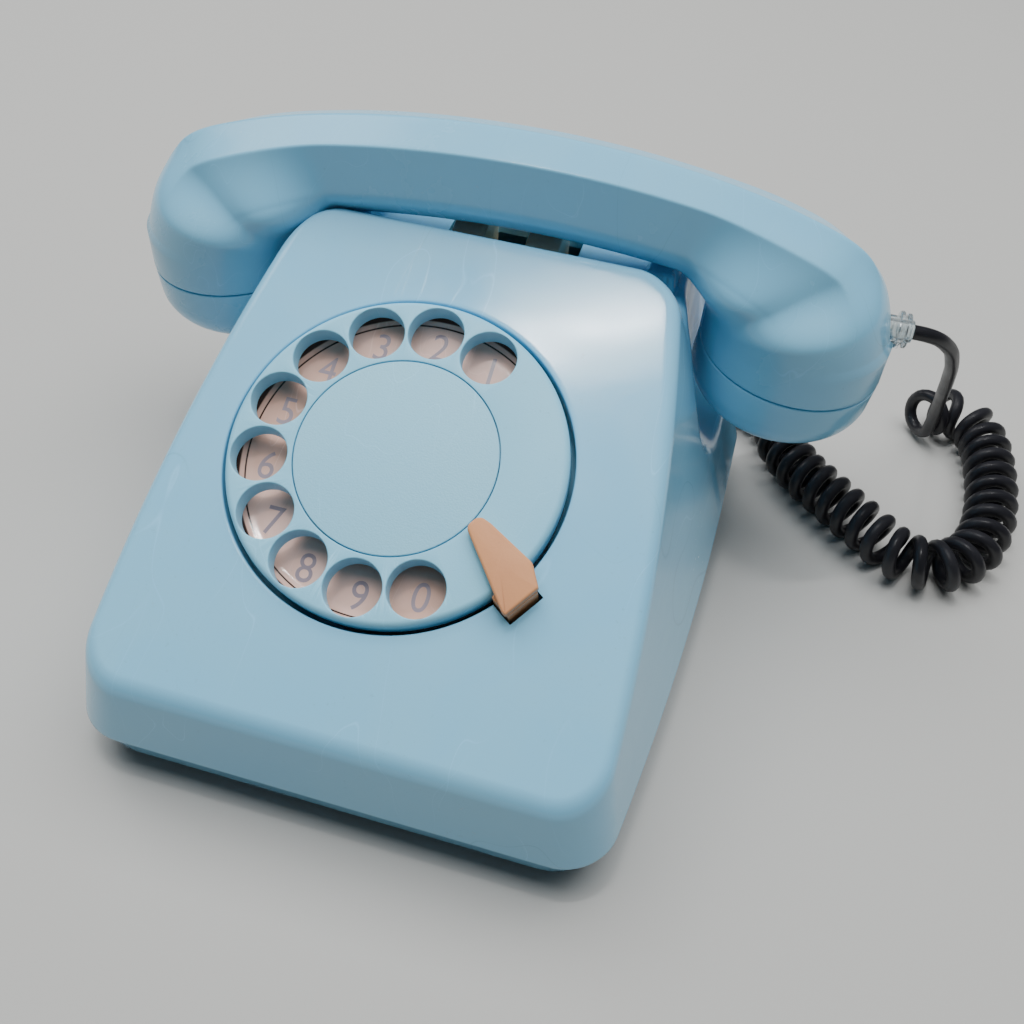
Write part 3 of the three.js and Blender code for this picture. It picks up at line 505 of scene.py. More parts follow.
base = {"top": 13.5, "low": 3.6, "floor": 6.0, "taper": 0.28, "inset": 0.8, "cols": 240}
screwPlaces = [(-62, -62), (62, -62), (-66, 64), (66, 64)]
footPlaces = [(-60, -74), (60, -74), (-64, 78), (64, 78)]


def makeBase():
    # a tray: rings of the housing's own outline, set in more toward the bottom, then back up inside
    a = np.arange(base["cols"]) * 2 * pi / base["cols"]
    way = np.stack([np.cos(a), np.sin(a)], -1)
    depth = base["top"] - base["low"]
    outside, bottom = base["inset"], base["inset"] + depth * base["taper"]
    section = roundedLine([
        (outside, 0), (bottom, -depth), (bottom + 12, -depth),
    ], [0, 1.6, 0], 6, False)
    rim = [(outside + 2.3, 0), (outside + 0.35, 0), (outside + 0.08, -0.12)]
    section = np.concatenate([rim, section[1:]])
    inside = [(bottom + 12, base["floor"] - base["top"]), (bottom + 2.6, base["floor"] - base["top"])]
    rows = [outlineAt(shell["seamZ"], inset, (0, 0), way) for inset, _ in [*section, *inside]]
    for row, (_, z) in zip(rows, [*section, *inside]):
        row[:, 2] = base["top"] + z
    centre = [np.tile([0.0, 0.0, z], (base["cols"], 1)) for z in (base["low"], base["floor"])]
    rows = [*rows[:-2], *centre, *rows[-2:]]
    piece = gridPiece("base_tray", np.stack(rows), closeRows=True)
    columnProfile = roundedLine([(0, 5), (5, 5), (5, 13.5), (0, 13.5)], [0, 0, 0.3, 0], 4, False)
    columns = [turned("column", columnProfile, 40, False, moved(x, y, 0)) for x, y in screwPlaces]
    combine(piece, joined("columns", columns), "UNION")
    boreProfile = [(0, 0), (3.6, 0), (3.6, 6.5), (1.9, 6.5), (1.9, 20), (0, 20)]
    bores = [turned("bore", boreProfile, 36, False, moved(x, y, 0)) for x, y in screwPlaces]
    return combine(piece, joined("bores", bores), "DIFFERENCE")


baseTray = makeBase()
footProfile = roundedLine([(0, 0), (5.4, 0), (7, 3.3), (0, 3.3)], [0, 0.9, 0.25, 0], 6, False)
feet = []
for i, (x, y) in enumerate(footPlaces):
    feet.append(turned(f"rubber_foot_{i + 1}", footProfile, 48, False, moved(x, y, 0)))
print("base made")

dial = {
    "wheelRadius": 45.5, "thickness": 5.8, "holeCircle": 36.5, "holeRadius": 7.65, "holeFlare": 0.35,
    "firstHole": 64.3, "holeStep": 360 / 14, "discRadius": 27.2, "plateZ": -8.6, "digitHeight": 8.0,
}
holeAngles = radians(dial["firstHole"]) + np.arange(10) * radians(dial["holeStep"])


def makeWheel():
    # turned rim, web and hub, bored with ten flared finger holes
    seat, rim, low = dial["discRadius"] + 0.3, dial["wheelRadius"], -dial["thickness"]
    profile = roundedLine([
        (3.1, -12), (7, -12), (7, -3.4), (27.6, -3.4), (27.6, low), (rim, low), (rim, 0), (seat, 0),
        (seat, -1.9), (3.1, -1.9),
    ], [0, 0.4, 0.6, 0.6, 0.4, 0.5, 1.7, 0.25, 0, 0], 8)
    wheel = turned("finger_wheel_moulding", profile, 240, True, onDial)
    flare, radius = dial["holeFlare"], dial["holeRadius"]
    mouth = [(radius + flare - flare * cos(a), flare * sin(a) - flare) for a in np.linspace(0, pi / 2, 6)]
    upper, lower = mouth, [(r, low - z) for r, z in mouth[::-1]]
    bore = [(0, low - 1), (radius + flare, low - 1), *lower, *upper, (radius + flare, 1), (0, 1)]
    tools = []
    for a in holeAngles:
        shift = np.array([dial["holeCircle"] * cos(a), dial["holeCircle"] * sin(a), 0])
        tools.append(turned("fingerHole", bore, 72, False, lambda p: onDial(p + shift)))
    return combine(wheel, joined("fingerHoles", tools), "DIFFERENCE")


wheel = makeWheel()
discProfile = roundedLine([(0, -1.6), (27.2, -1.6), (27.2, 0), (0, 0)], [0, 0.2, 0.3, 0], 6, False)
disc = turned("dial_disc", discProfile, 192, False, onDial)
plateProfile = roundedLine([
    (7.8, -8.6), (40.5, -8.6), (43.4, -7.8), (45.4, -6.4), (45.4, -7.8), (43.5, -9.1), (40.6, -9.6),
    (7.8, -9.6),
], [0.1, 6, 4, 0.3, 0.3, 4, 6, 0.1], 7)
plate = turned("number_dish", plateProfile, 192, True, onDial)


def makeDigits():
    # each digit is drawn flat, made a mesh, brought to size, and laid on the dish under its finger hole
    parts = []
    for i, a in enumerate(holeAngles):
        curve = bpy.data.curves.new("digit", "FONT")
        curve.body = str((i + 1) % 10)
        curve.extrude = 0.01
        curve.resolution_u = 8
        holder = bpy.data.objects.new("digit", curve)
        bpy.context.scene.collection.objects.link(holder)
        bpy.context.view_layer.update()
        mesh = bpy.data.meshes.new_from_object(holder.evaluated_get(bpy.context.evaluated_depsgraph_get()))
        bpy.data.objects.remove(holder)
        flat = np.empty(len(mesh.vertices) * 3)
        mesh.vertices.foreach_get("co", flat)
        flat = flat.reshape(-1, 3)
        low, high = flat.min(0), flat.max(0)
        flat[:, :2] = (flat[:, :2] - (low + high)[:2] / 2) * dial["digitHeight"] / (high[1] - low[1])
        flat[:, 0] *= 0.92
        flat[:, 2] = dial["plateZ"] + np.where(flat[:, 2] > 0, 0.05, -0.05)
        flat[:, 0] += dial["holeCircle"] * cos(a)
        flat[:, 1] += dial["holeCircle"] * sin(a)
        mesh.vertices.foreach_set("co", inPart(onDial(flat)).ravel())
        parts.append(finishPiece("digit", mesh))
    return joined("dial_digits", parts)


digits = makeDigits()
stopOutline = roundedLine([
    (28.0, 1.6), (39.6, -2.0), (50.8, -5.5), (52.2, -5.5), (52.2, 5.3), (46.2, 8.3), (31.5, 6.9), (27.9, 6.0),
], [2.0, 12, 0.8, 0.6, 0.8, 3.2, 8, 2.2], 9)
stopTongue = slab("stop_tongue", stopOutline, 0.6, 3.4, 0.7, turnedToStop)
stopFootOutline = roundedLine([(45.8, -4.9), (52.4, -4.9), (52.4, 4.9), (45.8, 4.9)], 0.6, 5)
stopFoot = slab("stop_foot", stopFootOutline, -13.2, 1.2, 0.4, turnedToStop)
fingerStop = combine(stopTongue, stopFoot, "UNION")
fingerStop.name = "finger_stop_moulding"
print("dial made")

hookX = 3.0


def sideways(x):
    # an outline drawn in the side view, given its thickness along X about x
    return lambda p: np.stack([x + p[..., 2], p[..., 0], p[..., 1]], -1)


def makeHook():
    tabCorners = [(51, 76), (67, 76), (67, 95.2), (56, 95.2), (51, 93.6)]
    outline = roundedLine(tabCorners, [0.3, 0.3, 1.2, 2, 1.2], 6)
    tabs = [slab("tab", outline, -5, 5, 0.7, sideways(x)) for x in (hookX - 11, hookX + 11)]
    bridgeOutline = roundedLine([(54, 72), (64, 72), (64, 78), (54, 78)], 0.6, 4)
    bridge = slab("bridge", bridgeOutline, -16, 16, 0.5, sideways(hookX))
    stemOutline = roundedLine([(56, 60), (62, 60), (62, 73), (56, 73)], 0.4, 4)
    stem = slab("stem", stemOutline, -3, 3, 0.4, sideways(hookX))
    for tool in (*tabs, stem):
        combine(bridge, tool, "UNION")
    bridge.name = "hook_tabs"
    return bridge


hook = makeHook()
print("hook made")

handset = {
    "gripTop": 54.5, "gripBottom": 27.2, "gripEnd": 47.0, "fillet": 12.0, "cupX": 86.5, "cupRadius": 27.5,
    "endMiddle": (62.1, -0.24), "endRadius": 51.9, "endRound": 3.0, "hollow": 25.0, "capDepth": 25.0,
    "capWall": 8.0, "cupTilt": 5.4, "sides": 128,
}
gripSection = [(0, 0), (9, 0.06), (13, 0.29), (10.5, 0.85), (0, 1), (-10.5, 0.85), (-13, 0.29), (-9, 0.06)]
gripRounding = [8, 4, 6, 1.0, 2.5, 1.0, 6, 4]


def archDrop(x):
    return 0.00145 * x**2 + 3.8e-8 * x**4


def endReach(angle):
    # from the fillet's centre to the outside: the nearer of the arch and the end's arc, rounded between them
    c, s = np.cos(angle), np.sin(angle)
    px = handset["gripEnd"]
    pz = handset["gripBottom"] - archDrop(px) - handset["fillet"]
    arch = np.full(np.shape(angle), 60.0)
    for _ in range(8):
        x = px + arch * c
        above = pz + arch * s - handset["gripTop"] + archDrop(x)
        arch = arch - above / (s + (0.0029 * x + 1.52e-7 * x**3) * c)
    dx, dz = px - handset["endMiddle"][0], pz - handset["endMiddle"][1]
    toward = dx * c + dz * s
    end = np.where(c > 0.42, np.sqrt(toward**2 + handset["endRadius"]**2 - dx**2 - dz**2) - toward, 1e3)
    blend = np.maximum(0, handset["endRound"] - np.abs(arch - end)) / handset["endRound"]
    return np.minimum(arch, end) - blend**2 * handset["endRound"] / 4


def sectionShape():
    # the grip's section with rounded corners, and where round it each column stands
    scale = handset["gripTop"] - handset["gripBottom"]
    corners = np.array(gripSection) * [1, scale]
    steps = 11
    line = roundedLine(corners, gripRounding, steps)
    line = np.roll(line, -(steps // 2), 0)  # starts at the middle of the first corner's arc
    loop = np.concatenate([line, line[:1]])
    length = np.concatenate([[0], np.cumsum(np.linalg.norm(np.diff(loop, axis=0), axis=1))])
    part = np.interp(length, np.append(length[::steps][:8], length[-1]), np.arange(9) / 8)
    way = np.diff(loop, axis=0)
    heading = np.unwrap(np.arctan2(way[:, 1], way[:, 0]))
    turn = np.abs(np.diff(heading, prepend=heading[0]))
    cost = np.concatenate([[0], np.cumsum(np.diff(length) + 9 * turn)])
    wanted = np.linspace(0, cost[-1], handset["sides"] + 1)[:-1]
    at = np.interp(wanted, cost, part)
    y = np.interp(at, part, loop[:, 0])
    t = np.interp(at, part, loop[:, 1] / scale)
    return at * 2 * pi, y, t


def smoothStep(value, low, high):
    t = np.clip((value - low) / (high - low), 0, 1)
    return t * t * (3 - 2 * t)


def halfHandset():
    # stations from the cup's hollow to mid length: inner x and z, outer x and z, grip share of the inner and
    # of the outer side, cup radius. The cup's lower end is tilted, which fades out up to the fillet.
    cup, radius, hollow = handset["cupX"], handset["cupRadius"], handset["hollow"]
    px = handset["gripEnd"]
    pz = handset["gripBottom"] - archDrop(px) - handset["fillet"]
    lean = sin(radians(handset["cupTilt"]))

    def level(r, z, outerX):
        lift = r * lean * max(0, 1 - z / pz)
        return cup - r, z + lift, outerX, z - lift, 0, 0, r

    rows = [level(r, z, cup + r) for r, z in (
        (0, 20), (18.6, 20), (19, 19.6), (hollow, 0.3), (hollow + 0.2, 0), (radius - 0.55, 0),
        (radius - 0.16, 0.16), (radius, 0.55),
    )]
    rows += [level(radius, z, cup + radius) for z in np.linspace(1.2, pz, 8)[:-1]]
    degrees = np.linspace(0, 90, 91)
    angle = np.radians(degrees)
    reach = endReach(angle)
    c, s = np.cos(angle), np.sin(angle)
    bend = np.stack([
        px + handset["fillet"] * c, pz + handset["fillet"] * s, px + reach * c, pz + reach * s,
        smoothStep(degrees, 30, 80), smoothStep(degrees, 9, 25), np.full(len(angle), radius),
    ], -1)
    x = np.linspace(px, 0, 20)[1:]
    grip = np.stack([
        x, handset["gripBottom"] - archDrop(x), x, handset["gripTop"] - archDrop(x),
        0 * x + 1, 0 * x + 1, 0 * x + radius,
    ], -1)
    return np.concatenate([rows, bend, grip])


def makeHandset():
    # each station is a flat section between an inner and an outer point, part circle and part grip section
    angle, gripY, gripT = sectionShape()
    half = halfHandset()
    mirrored = half[::-1][1:] * [-1, 1, -1, 1, 1, 1, 1]
    stations = np.concatenate([half, mirrored])
    roundY, roundT = np.cos(angle - pi / 2), (1 + np.sin(angle - pi / 2)) / 2
    share = stations[:, 4:5] + (stations[:, 5:6] - stations[:, 4:5]) * roundT**1.5
    y = stations[:, 6:7] * roundY * (1 - share) + gripY * share
    t = roundT * (1 - share) + gripT * share
    x = stations[:, 0:1] + (stations[:, 2:3] - stations[:, 0:1]) * t
    z = stations[:, 1:2] + (stations[:, 3:4] - stations[:, 1:2]) * t
    piece = gridPiece("handset_body", onHandset(np.stack([x, y, z], -1)))
    bore = turned("bore", [(0, 97), (4.2, 97), (4.2, 127), (0, 127)], 48, False,
                  lambda p: onHandset(alongX(p) + np.array([0, 0, 13.0])))
    return combine(piece, bore, "DIFFERENCE")


def makeCap(name, side, holeRings):
    # a turned bowl with its own wall, drilled with rings of sound holes
    radius, wall, depth = handset["cupRadius"], 2.5, handset["capDepth"]
    deep = depth - handset["capWall"]
    a = np.linspace(0, pi / 2, 26)
    outer = np.stack([radius * np.sin(a), -depth + deep * (1 - np.cos(a))], -1)
    inner = np.stack([(radius - wall) * np.sin(a), -depth + wall + 0.9 * deep * (1 - np.cos(a))], -1)
    topCorners = [(radius, -4), (radius, -0.3), (radius - wall, -0.3), (radius - wall, -4)]
    top = roundedLine(topCorners, [0, 0.55, 0.3, 0], 6, False)
    profile = np.concatenate([outer, top, inner[::-1]])
    lean = side * radians(handset["cupTilt"])

    def place(points):
        # leaned about Y, then stood in its cup
        x, y, z = points[..., 0], points[..., 1], points[..., 2]
        return onHandset(np.stack([
            x * cos(lean) + z * sin(lean) + side * handset["cupX"], y, z * cos(lean) - x * sin(lean)], -1))

    cap = turned(name, profile, 144, False, place)
    tools = []
    for ring, count in holeRings:
        for k in range(count):
            x, y = ring * cos(2 * pi * k / count), ring * sin(2 * pi * k / count)
            shift = np.array([x, y, 0])
            tools.append(turned("soundHole", [(0, -40), (1.3, -40), (1.3, -12), (0, -12)], 20, False,
                                lambda p: place(p + shift)))
    return combine(cap, joined("soundHoles", tools), "DIFFERENCE")


handsetBody = makeHandset()
mouthCap = makeCap("mouth_cap_bowl", -1, [(0, 1), (7, 5), (13, 8)])
earCap = makeCap("ear_cap_bowl", 1, [(0, 1), (8, 6)])
print("handset made", len(handsetBody.data.polygons))

def addNode(tree, kind, inputs=None, **settings):
    # a node with its settings made, its inputs given as values or joined to other nodes' outputs
    node = tree.nodes.new(kind)
    for name, value in settings.items():
        setattr(node, name, value)
    for name, value in (inputs or {}).items():
        if isinstance(value, bpy.types.NodeSocket):
            tree.links.new(value, node.inputs[name])
        else:
            node.inputs[name].default_value = value
    return node


def newGroup(name, inputs, output):
    group = bpy.data.node_groups.new(name, "ShaderNodeTree")
    group.interface.new_socket("Vector", in_out="INPUT", socket_type="NodeSocketVector")
    for label, value in inputs.items():
        socket = group.interface.new_socket(label, in_out="INPUT", socket_type="NodeSocketFloat")
        socket.default_value = value
    group.interface.new_socket(output, in_out="OUTPUT", socket_type="NodeSocketFloat")
    return group, group.nodes.new("NodeGroupInput").outputs, group.nodes.new("NodeGroupOutput").inputs


def remap(tree, value, low, high, toLow=0.0, toHigh=1.0, smooth=True):
    return addNode(tree, "ShaderNodeMapRange", {
        "Value": value, "From Min": low, "From Max": high, "To Min": toLow, "To Max": toHigh,
    }, interpolation_type="SMOOTHSTEP" if smooth else "LINEAR").outputs["Result"]


def maths(tree, operation, *values):
    return addNode(tree, "ShaderNodeMath", dict(enumerate(values)), operation=operation).outputs[0]


def noise(tree, vector, scale, detail, roughness=0.5, distortion=0.0):
    return addNode(tree, "ShaderNodeTexNoise", {
        "Vector": vector, "Scale": scale, "Detail": detail, "Roughness": roughness, "Distortion": distortion,
    }).outputs[0]


def makeLineGroup(name, usual, stretch, layers, lineNoise, patchNoise, patchRange):
    # contour lines of a drawn-out noise, one set for each layer's rotation and offset, kept only in patches
    group, given, result = newGroup(name, usual, "Mask")
    sets = []
    for rotation, offset in layers:
        drawn = addNode(group, "ShaderNodeMapping", {
            "Vector": given["Vector"], "Location": (offset,) * 3, "Rotation": rotation, "Scale": stretch,
        }).outputs[0]
        offLine = maths(group, "SUBTRACT", noise(group, drawn, given["Scale"], *lineNoise), 0.5)
        offLine = maths(group, "ABSOLUTE", offLine)
        line = remap(group, offLine, 0.0, given["Width"], 1.0, 0.0, smooth=False)
        patch = remap(group, noise(group, drawn, *patchNoise), *patchRange)
        sets.append(maths(group, "MULTIPLY", line, patch))
    total = maths(group, "MAXIMUM", *sets)
    group.links.new(maths(group, "MULTIPLY", total, given["Amount"]), result["Mask"])
    return group


def makeDustGroup():
    # small specks, thicker in some patches
    group, given, result = newGroup("dust specks", {"Scale": 700.0, "Amount": 1.0}, "Mask")
    speck = noise(group, given["Vector"], given["Scale"], 2.0, 0.7)
    patch = noise(group, given["Vector"], 30.0, 3.0)
    mask = maths(group, "MULTIPLY", remap(group, speck, 0.64, 0.76), remap(group, patch, 0.42, 0.62))
    group.links.new(maths(group, "MULTIPLY", mask, given["Amount"]), result["Mask"])
    return group


def makeSmudgeGroup():
    # broad soft patches, as handling and age leave on a surface
    group, given, result = newGroup("smudges", {"Scale": 22.0}, "Value")
    broad = noise(group, given["Vector"], given["Scale"], 5.0, 0.62, 0.4)
    group.links.new(remap(group, broad, 0.3, 0.7), result["Value"])
    return group


def makeGrainGroup():
    # height of a fine moulding grain
    group, given, result = newGroup("moulding grain", {"Scale": 1500.0}, "Height")
    group.links.new(noise(group, given["Vector"], given["Scale"], 3.0, 0.6), result["Height"])
    return group


scratchGroup = makeLineGroup(
    "fine scratches", {"Scale": 60.0, "Width": 0.004, "Amount": 1.0}, (1.0, 0.12, 0.6),
    [((0.3, 0.35, 0.7), 0.0), ((0.3, -0.9, -1.8), 3.7)], (1.0, 0.4), (45.0, 0.0), (0.5, 0.66))
crackGroup = makeLineGroup(
    "hairline cracks", {"Scale": 26.0, "Width": 0.006, "Amount": 1.0}, (1.0, 0.4, 0.5),
    [((0.2, 0.25, 0.25), 1.3), ((0.2, -0.5, -0.5), 5.9)], (2.0, 0.3), (19.0, 1.0), (0.48, 0.6))
dustGroup, smudgeGroup, grainGroup = makeDustGroup(), makeSmudgeGroup(), makeGrainGroup()

finishes = {
    "shell blue plastic": {
        "colour": (0.222, 0.565, 0.815), "aged": (0.242, 0.578, 0.800), "rough": (0.12, 0.24), "coat": 0.35,
        "grain": (380, 0.035), "scratch": (60, 0.0035, 0.6), "crack": (17, 0.0009, 0.2), "dust": (650, 0.25),
    },
    "handset blue plastic": {
        "colour": (0.212, 0.552, 0.800), "aged": (0.232, 0.566, 0.785), "rough": (0.18, 0.32), "coat": 0.3,
        "grain": (380, 0.03), "scratch": (70, 0.003, 0.5), "crack": (19, 0.0012, 0.6), "dust": (650, 0.2),
    },
    "dial blue plastic": {
        "colour": (0.245, 0.605, 0.820), "aged": (0.262, 0.618, 0.805), "rough": (0.30, 0.42),
        "grain": (2300, 0.10), "scratch": (80, 0.003, 0.5), "dust": (800, 0.25),
    },
    "satin disc plastic": {
        "colour": (0.270, 0.620, 0.820), "aged": (0.292, 0.632, 0.805), "rough": (0.36, 0.46),
        "grain": (2000, 0.22), "scratch": (90, 0.004, 0.6), "dust": (800, 0.2),
    },
    "number dish plastic": {
        "colour": (0.88, 0.57, 0.48), "aged": (0.72, 0.41, 0.31), "rough": (0.08, 0.2), "coat": 0.5,
        "grain": (500, 0.02), "scratch": (110, 0.004, 0.5), "dust": (900, 0.35),
        # painted shade on the dish: a dark ring at the first radius, and all of the dish outside the second
        "paintedRimShade": (42.3, 43.5),
    },
    "stop tan plastic": {
        "colour": (0.68, 0.32, 0.15), "aged": (0.60, 0.27, 0.13), "rough": (0.38, 0.5),
        "grain": (1300, 0.08), "scratch": (90, 0.004, 0.4), "dust": (900, 0.5),
    },
    "hook cream plastic": {
        "colour": (0.72, 0.68, 0.50), "aged": (0.62, 0.56, 0.38), "rough": (0.35, 0.5),
        "grain": (1300, 0.05), "scratch": (90, 0.004, 0.5), "dust": (900, 0.5),
    },
    "dark plastic": {
        "colour": (0.020, 0.021, 0.024), "aged": (0.032, 0.032, 0.034), "rough": (0.4, 0.55),
        "grain": (1600, 0.1), "scratch": (90, 0.004, 0.4), "dust": (900, 0.4),
    },
    "board brown resin": {
        "colour": (0.30, 0.16, 0.06), "aged": (0.23, 0.12, 0.045), "rough": (0.4, 0.55), "coat": 0.2,
        "grain": (900, 0.1), "scratch": (90, 0.004, 0.3), "dust": (900, 0.4),
    },
    "digit ink": {
        "colour": (0.30, 0.235, 0.27), "aged": (0.36, 0.28, 0.31), "rough": (0.3, 0.4), "coat": 0.2,
        "grain": (900, 0.02), "scratch": (110, 0.004, 0.3), "dust": (900, 0.4),
    },
}


def placed(tree, group, vector, *values):
    # the group's one output, its inputs after Vector given in order
    inputs = {0: vector, **dict(enumerate(values, 1))}
    return addNode(tree, "ShaderNodeGroup", inputs, node_tree=group).outputs[0]


def bump(tree, height, strength, distance, before=None):
    inputs = {"Height": height, "Strength": strength, "Distance": distance}
    if before:
        inputs["Normal"] = before
    return addNode(tree, "ShaderNodeBump", inputs).outputs[0]


def objectPlace(tree):
    return addNode(tree, "ShaderNodeTexCoord").outputs["Object"]


def joinUp(tree, shader, colour, rough, normal=None):
    for socket, value in (("Base Color", colour), ("Roughness", rough), ("Normal", normal)):
        if value:
            tree.links.new(value, shader.inputs[socket])


def mixed(tree, share, first, second):
    node = addNode(tree, "ShaderNodeMix", {0: share, 6: first, 7: second}, data_type="RGBA")
    return node.outputs[2]


def opaque(colour):
    return (*colour, 1.0)


def startMaterial(name):
    material = bpy.data.materials.new(name)
    material.use_nodes = True
    tree = material.node_tree
    return material, tree, tree.nodes["Principled BSDF"]


def paintedRimShade(tree, place, line, edge):
    # by the distance from the dial's axis: a thin ring at the line, and everything outside the edge; this is
    # the mask for painted shade at the dish's upturned rim and in the gap by the case wall
    middle = inPart(dialPlace["middle"]).tolist()
    fromMiddle = addNode(tree, "ShaderNodeVectorMath", {0: place, 1: middle}, operation="SUBTRACT").outputs[0]
    upright = addNode(tree, "ShaderNodeMapping", {
        "Vector": fromMiddle, "Rotation": (-radians(dialPlace["tilt"]), 0, 0), "Scale": (1, 1, 1)}).outputs[0]
    flat = addNode(tree, "ShaderNodeVectorMath", {0: upright, 1: (1, 1, 0)}, operation="MULTIPLY").outputs[0]
    radius = addNode(tree, "ShaderNodeVectorMath", {0: flat}, operation="LENGTH").outputs["Value"]
    off = maths(tree, "ABSOLUTE", maths(tree, "SUBTRACT", radius, line * mm))
    ring = remap(tree, off, 0.12 * mm, 0.32 * mm, 1.0, 0.0)
    outside = remap(tree, radius, edge * mm, (edge + 0.4) * mm)
    return maths(tree, "MAXIMUM", ring, outside)


def plasticMaterial(name, look):
    # moulded plastic: aged patches, dust, scratches that catch light, hairline cracks and a fine grain, and
    # on the number dish a painted shade at its rim
    material, tree, shader = startMaterial(name)
    place = objectPlace(tree)
    smudge = placed(tree, smudgeGroup, place, 22.0)
    dust = placed(tree, dustGroup, place, *look["dust"])
    scratch = placed(tree, scratchGroup, place, *look["scratch"])
    colour = mixed(tree, smudge, opaque(look["colour"]), opaque(look["aged"]))
    colour = mixed(tree, dust, colour, opaque([0.45 * c + 0.06 for c in look["colour"]]))
    colour = mixed(tree, scratch, colour, opaque([min(1, 1.15 * c + 0.05) for c in look["colour"]]))
    if "paintedRimShade" in look:
        # near-black painted shade: a thin ring at the dish's upturned rim, and the dish's outer edge by the
        # case wall
        colour = mixed(tree, paintedRimShade(tree, place, *look["paintedRimShade"]), colour, (0.035, 0.017, 0.013, 1))
    grainScale, grainStrength = look["grain"]
    normal = bump(tree, placed(tree, grainGroup, place, grainScale), grainStrength, 0.0004)
    normal = bump(tree, scratch, 0.3, -0.00004, normal)
    if "crack" in look:
        crack = placed(tree, crackGroup, place, *look["crack"])
        colour = mixed(tree, crack, colour, opaque([0.3 * c for c in look["colour"]]))
        normal = bump(tree, crack, 0.4, -0.0001, normal)
    rough = remap(tree, smudge, 0, 1, *look["rough"], smooth=False)
    rough = maths(tree, "ADD", maths(tree, "MULTIPLY", dust, 0.3), rough)
    joinUp(tree, shader, colour, rough, normal)
    shader.inputs["Coat Weight"].default_value = look.get("coat", 0.0)
    shader.inputs["Coat Roughness"].default_value = 0.12
    shader.inputs["IOR"].default_value = 1.49
    return material


def metalMaterial(name, bright, dull, rough):
    # plated metal: duller patches and a fine brushed grain
    material, tree, shader = startMaterial(name)
    place = objectPlace(tree)
    smudge = placed(tree, smudgeGroup, place, 60.0)
    drawn = addNode(tree, "ShaderNodeMapping", {"Vector": place, "Scale": (1.0, 0.08, 1.0)}).outputs[0]
    normal = bump(tree, placed(tree, grainGroup, drawn, 2600.0), 0.15, 0.0002)
    colour = mixed(tree, smudge, opaque(bright), opaque(dull))
    joinUp(tree, shader, colour, remap(tree, smudge, 0, 1, *rough, smooth=False), normal)
    shader.inputs["Metallic"].default_value = 1.0
    return material


def rubberMaterial(name, attribute=None):
    # black jacket: faint dust and a drawn grain, following the cord where it has its own places
    material, tree, shader = startMaterial(name)
    if attribute:
        place = addNode(tree, "ShaderNodeAttribute", attribute_name=attribute).outputs["Vector"]
    else:
        place = objectPlace(tree)
    dust = placed(tree, dustGroup, place, 500.0, 0.5)
    smudge = placed(tree, smudgeGroup, place, 40.0)
    colour = mixed(tree, smudge, (0.010, 0.010, 0.013, 1), (0.016, 0.016, 0.020, 1))
    colour = mixed(tree, dust, colour, (0.10, 0.10, 0.10, 1))
    normal = bump(tree, placed(tree, grainGroup, place, 1200.0), 0.08, 0.0003)
    joinUp(tree, shader, colour, remap(tree, smudge, 0, 1, 0.3, 0.46, smooth=False), normal)
    return material


def clearMaterial(name):
    # clear plastic, a little cloudy in patches
    material, tree, shader = startMaterial(name)
    smudge = placed(tree, smudgeGroup, objectPlace(tree), 120.0)
    colour = mixed(tree, smudge, (0.88, 0.93, 0.94, 1), (0.78, 0.84, 0.85, 1))
    joinUp(tree, shader, colour, remap(tree, smudge, 0, 1, 0.04, 0.16, smooth=False))
    shader.inputs["Transmission Weight"].default_value = 0.9
    shader.inputs["IOR"].default_value = 1.46
    return material


materials = {name: plasticMaterial(name, look) for name, look in finishes.items()}
for name, metalColours in {
    "zinc plated steel": ((0.56, 0.57, 0.58), (0.40, 0.41, 0.42), (0.28, 0.48)),
    "brass": ((0.72, 0.55, 0.25), (0.52, 0.38, 0.17), (0.25, 0.42)),
}.items():
    materials[name] = metalMaterial(name, *metalColours)
materials["cord jacket"] = rubberMaterial("cord jacket", "cordPlace")
materials["black rubber"] = rubberMaterial("black rubber")
materials["clear plastic"] = clearMaterial("clear plastic")
print("materials made")

slotMaterial = {
    "shell_blue": "shell blue plastic", "dial_blue": "dial blue plastic",
    "number_cream": "number dish plastic", "stop_tan": "stop tan plastic",
    "hook_cream": "hook cream plastic", "black_rubber": "black rubber",
    "clear_plastic": "clear plastic", "steel": "zinc plated steel", "brass": "brass",
    "board_brown": "board brown resin", "dark_plastic": "dark plastic",
}
# piece, body, slot, material where it differs from the slot's, CAD nodes it stands for
pieceList = [
    (housing, "root", "shell_blue", None, ["housing"]),
    (baseTray, "root", "shell_blue", None, ["base_plate"]),
    (wheel, "dial", "dial_blue", None, ["finger_wheel"]),
    (disc, "dial", "dial_blue", "satin disc plastic", ["centre_disc"]),
    (plate, "root", "number_cream", None, ["number_plate"]),
    (digits, "root", "number_cream", "digit ink", []),
    (fingerStop, "root", "stop_tan", None, ["finger_stop"]),
    (hook, "hook", "hook_cream", None, ["hook_plunger"]),
    (handsetBody, "handset", "shell_blue", "handset blue plastic", ["handset_shell"]),
    (mouthCap, "handset", "shell_blue", "handset blue plastic", ["mouth_cap"]),
    (earCap, "handset", "shell_blue", "handset blue plastic", ["ear_cap"]),
    (cordSleeve, "handset", "clear_plastic", None, ["cord_sleeve"]),
    (cordGland, "root", "black_rubber", None, ["cord_gland"]),
    (lineInlet, "root", "dark_plastic", None, ["line_inlet"]),
]
pieceList += [(foot, "root", "black_rubber", None, [f"foot_{i + 1}"]) for i, foot in enumerate(feet)]

for piece, body, slotName, finish, nodes in pieceList:
    piece.data.materials.clear()
    piece.data.materials.append(materials[finish or slotMaterial[slotName]])
    piece.data.polygons.foreach_set("material_index", np.zeros(len(piece.data.polygons), np.int32))
    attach(piece, body)
    if nodes:
        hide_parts(*nodes)

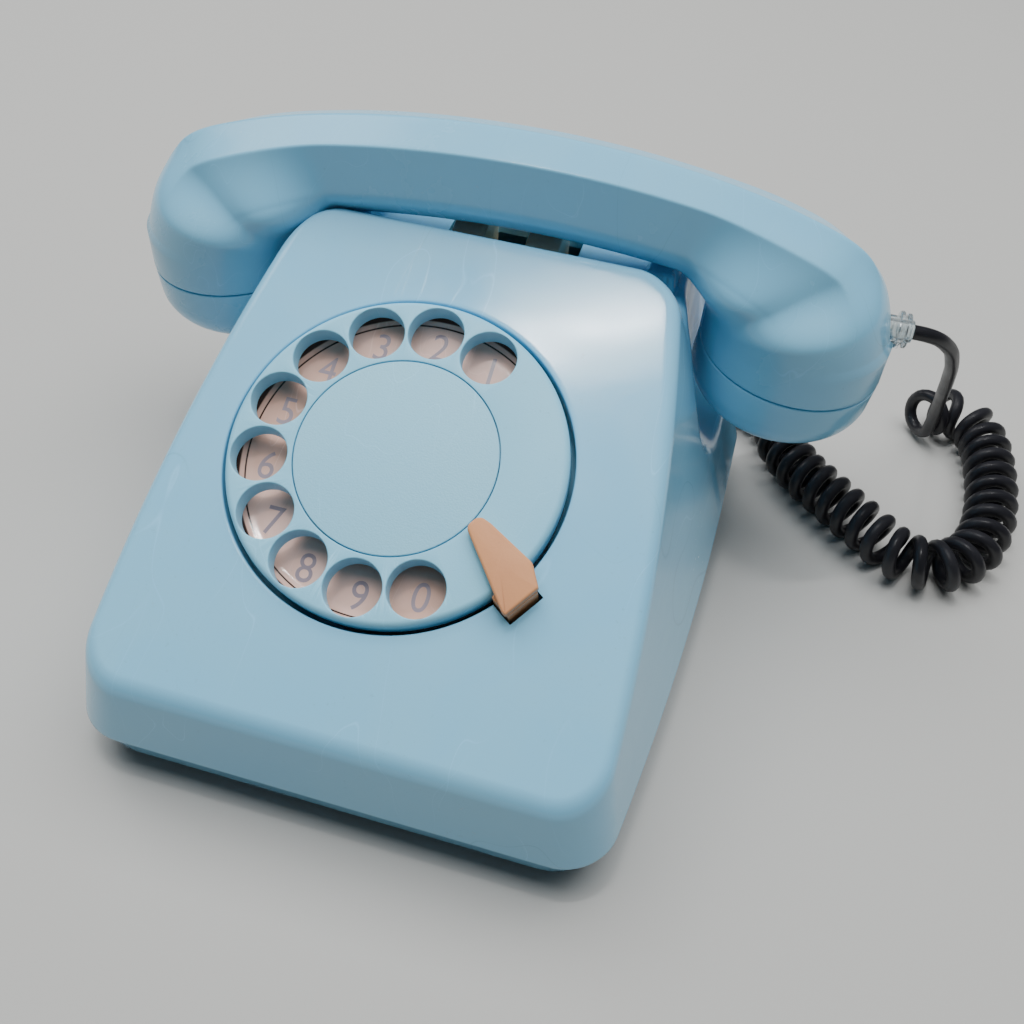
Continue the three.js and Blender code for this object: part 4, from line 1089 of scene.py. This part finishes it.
cord.data.materials.append(materials["cord jacket"])
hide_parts("cord_tail", "cord_coil", "cord_lead")
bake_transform(cord)

for part in frame["record"]["subparts"]:
    node = frame["nodes"][part["node"]]
    for place in node.material_slots:
        place.material = materials[slotMaterial[part["material_slot"]]]
print("pieces placed")

floorMesh = bpy.data.meshes.new("floor")
floorMesh.from_pydata([(-4, -4, 0), (4, -4, 0), (4, 4, 0), (-4, 4, 0)], [], [(0, 1, 2, 3)])
floor = bpy.data.objects.new("floor", floorMesh)
bpy.context.scene.collection.objects.link(floor)
floorMaterial, floorTree, floorShader = startMaterial("pale floor")
floorShader.inputs["Base Color"].default_value = (0.46, 0.46, 0.445, 1)
floorShader.inputs["Roughness"].default_value = 0.7
floorMesh.materials.append(floorMaterial)

lamps = {
    "ceiling": {"place": (0.0, 0.35, 1.5), "aim": (0, 0, 0.05), "along": (1, 0, 0),
                "size": (2.2, 1.5), "power": 45},
    "window": {"place": (-0.9, 0.5, 1.1), "aim": (0, 0, 0.05), "along": (0.5, 1, 0),
               "size": (0.7, 0.7), "power": 4},
    "tube": {"place": (-0.12, 0.065, 1.275), "aim": (0.03, 0.02, 0.09), "along": (0.167, 0.074, 0),
             "size": (0.24, 0.022), "power": 2.8},
}
for name, lamp in lamps.items():
    light = bpy.data.lights.new(name, "AREA")
    light.shape, light.energy = "RECTANGLE", lamp["power"]
    light.size, light.size_y = lamp["size"]
    holder = bpy.data.objects.new(name, light)
    holder.location = lamp["place"]
    back = (Vector(lamp["place"]) - Vector(lamp["aim"])).normalized()
    side = back.cross(Vector(lamp["along"])).normalized()
    holder.rotation_euler = Matrix((side.cross(back), side, back)).transposed().to_euler()
    holder.visible_glossy = name != "ceiling"  # the ceiling's light is felt but not mirrored
    bpy.context.scene.collection.objects.link(holder)

world = bpy.data.worlds.new("room")
bpy.context.scene.world = world
world.use_nodes = True
world.node_tree.nodes["Background"].inputs[0].default_value = (0.82, 0.88, 0.92, 1)
world.node_tree.nodes["Background"].inputs[1].default_value = 0.11
print("light set")
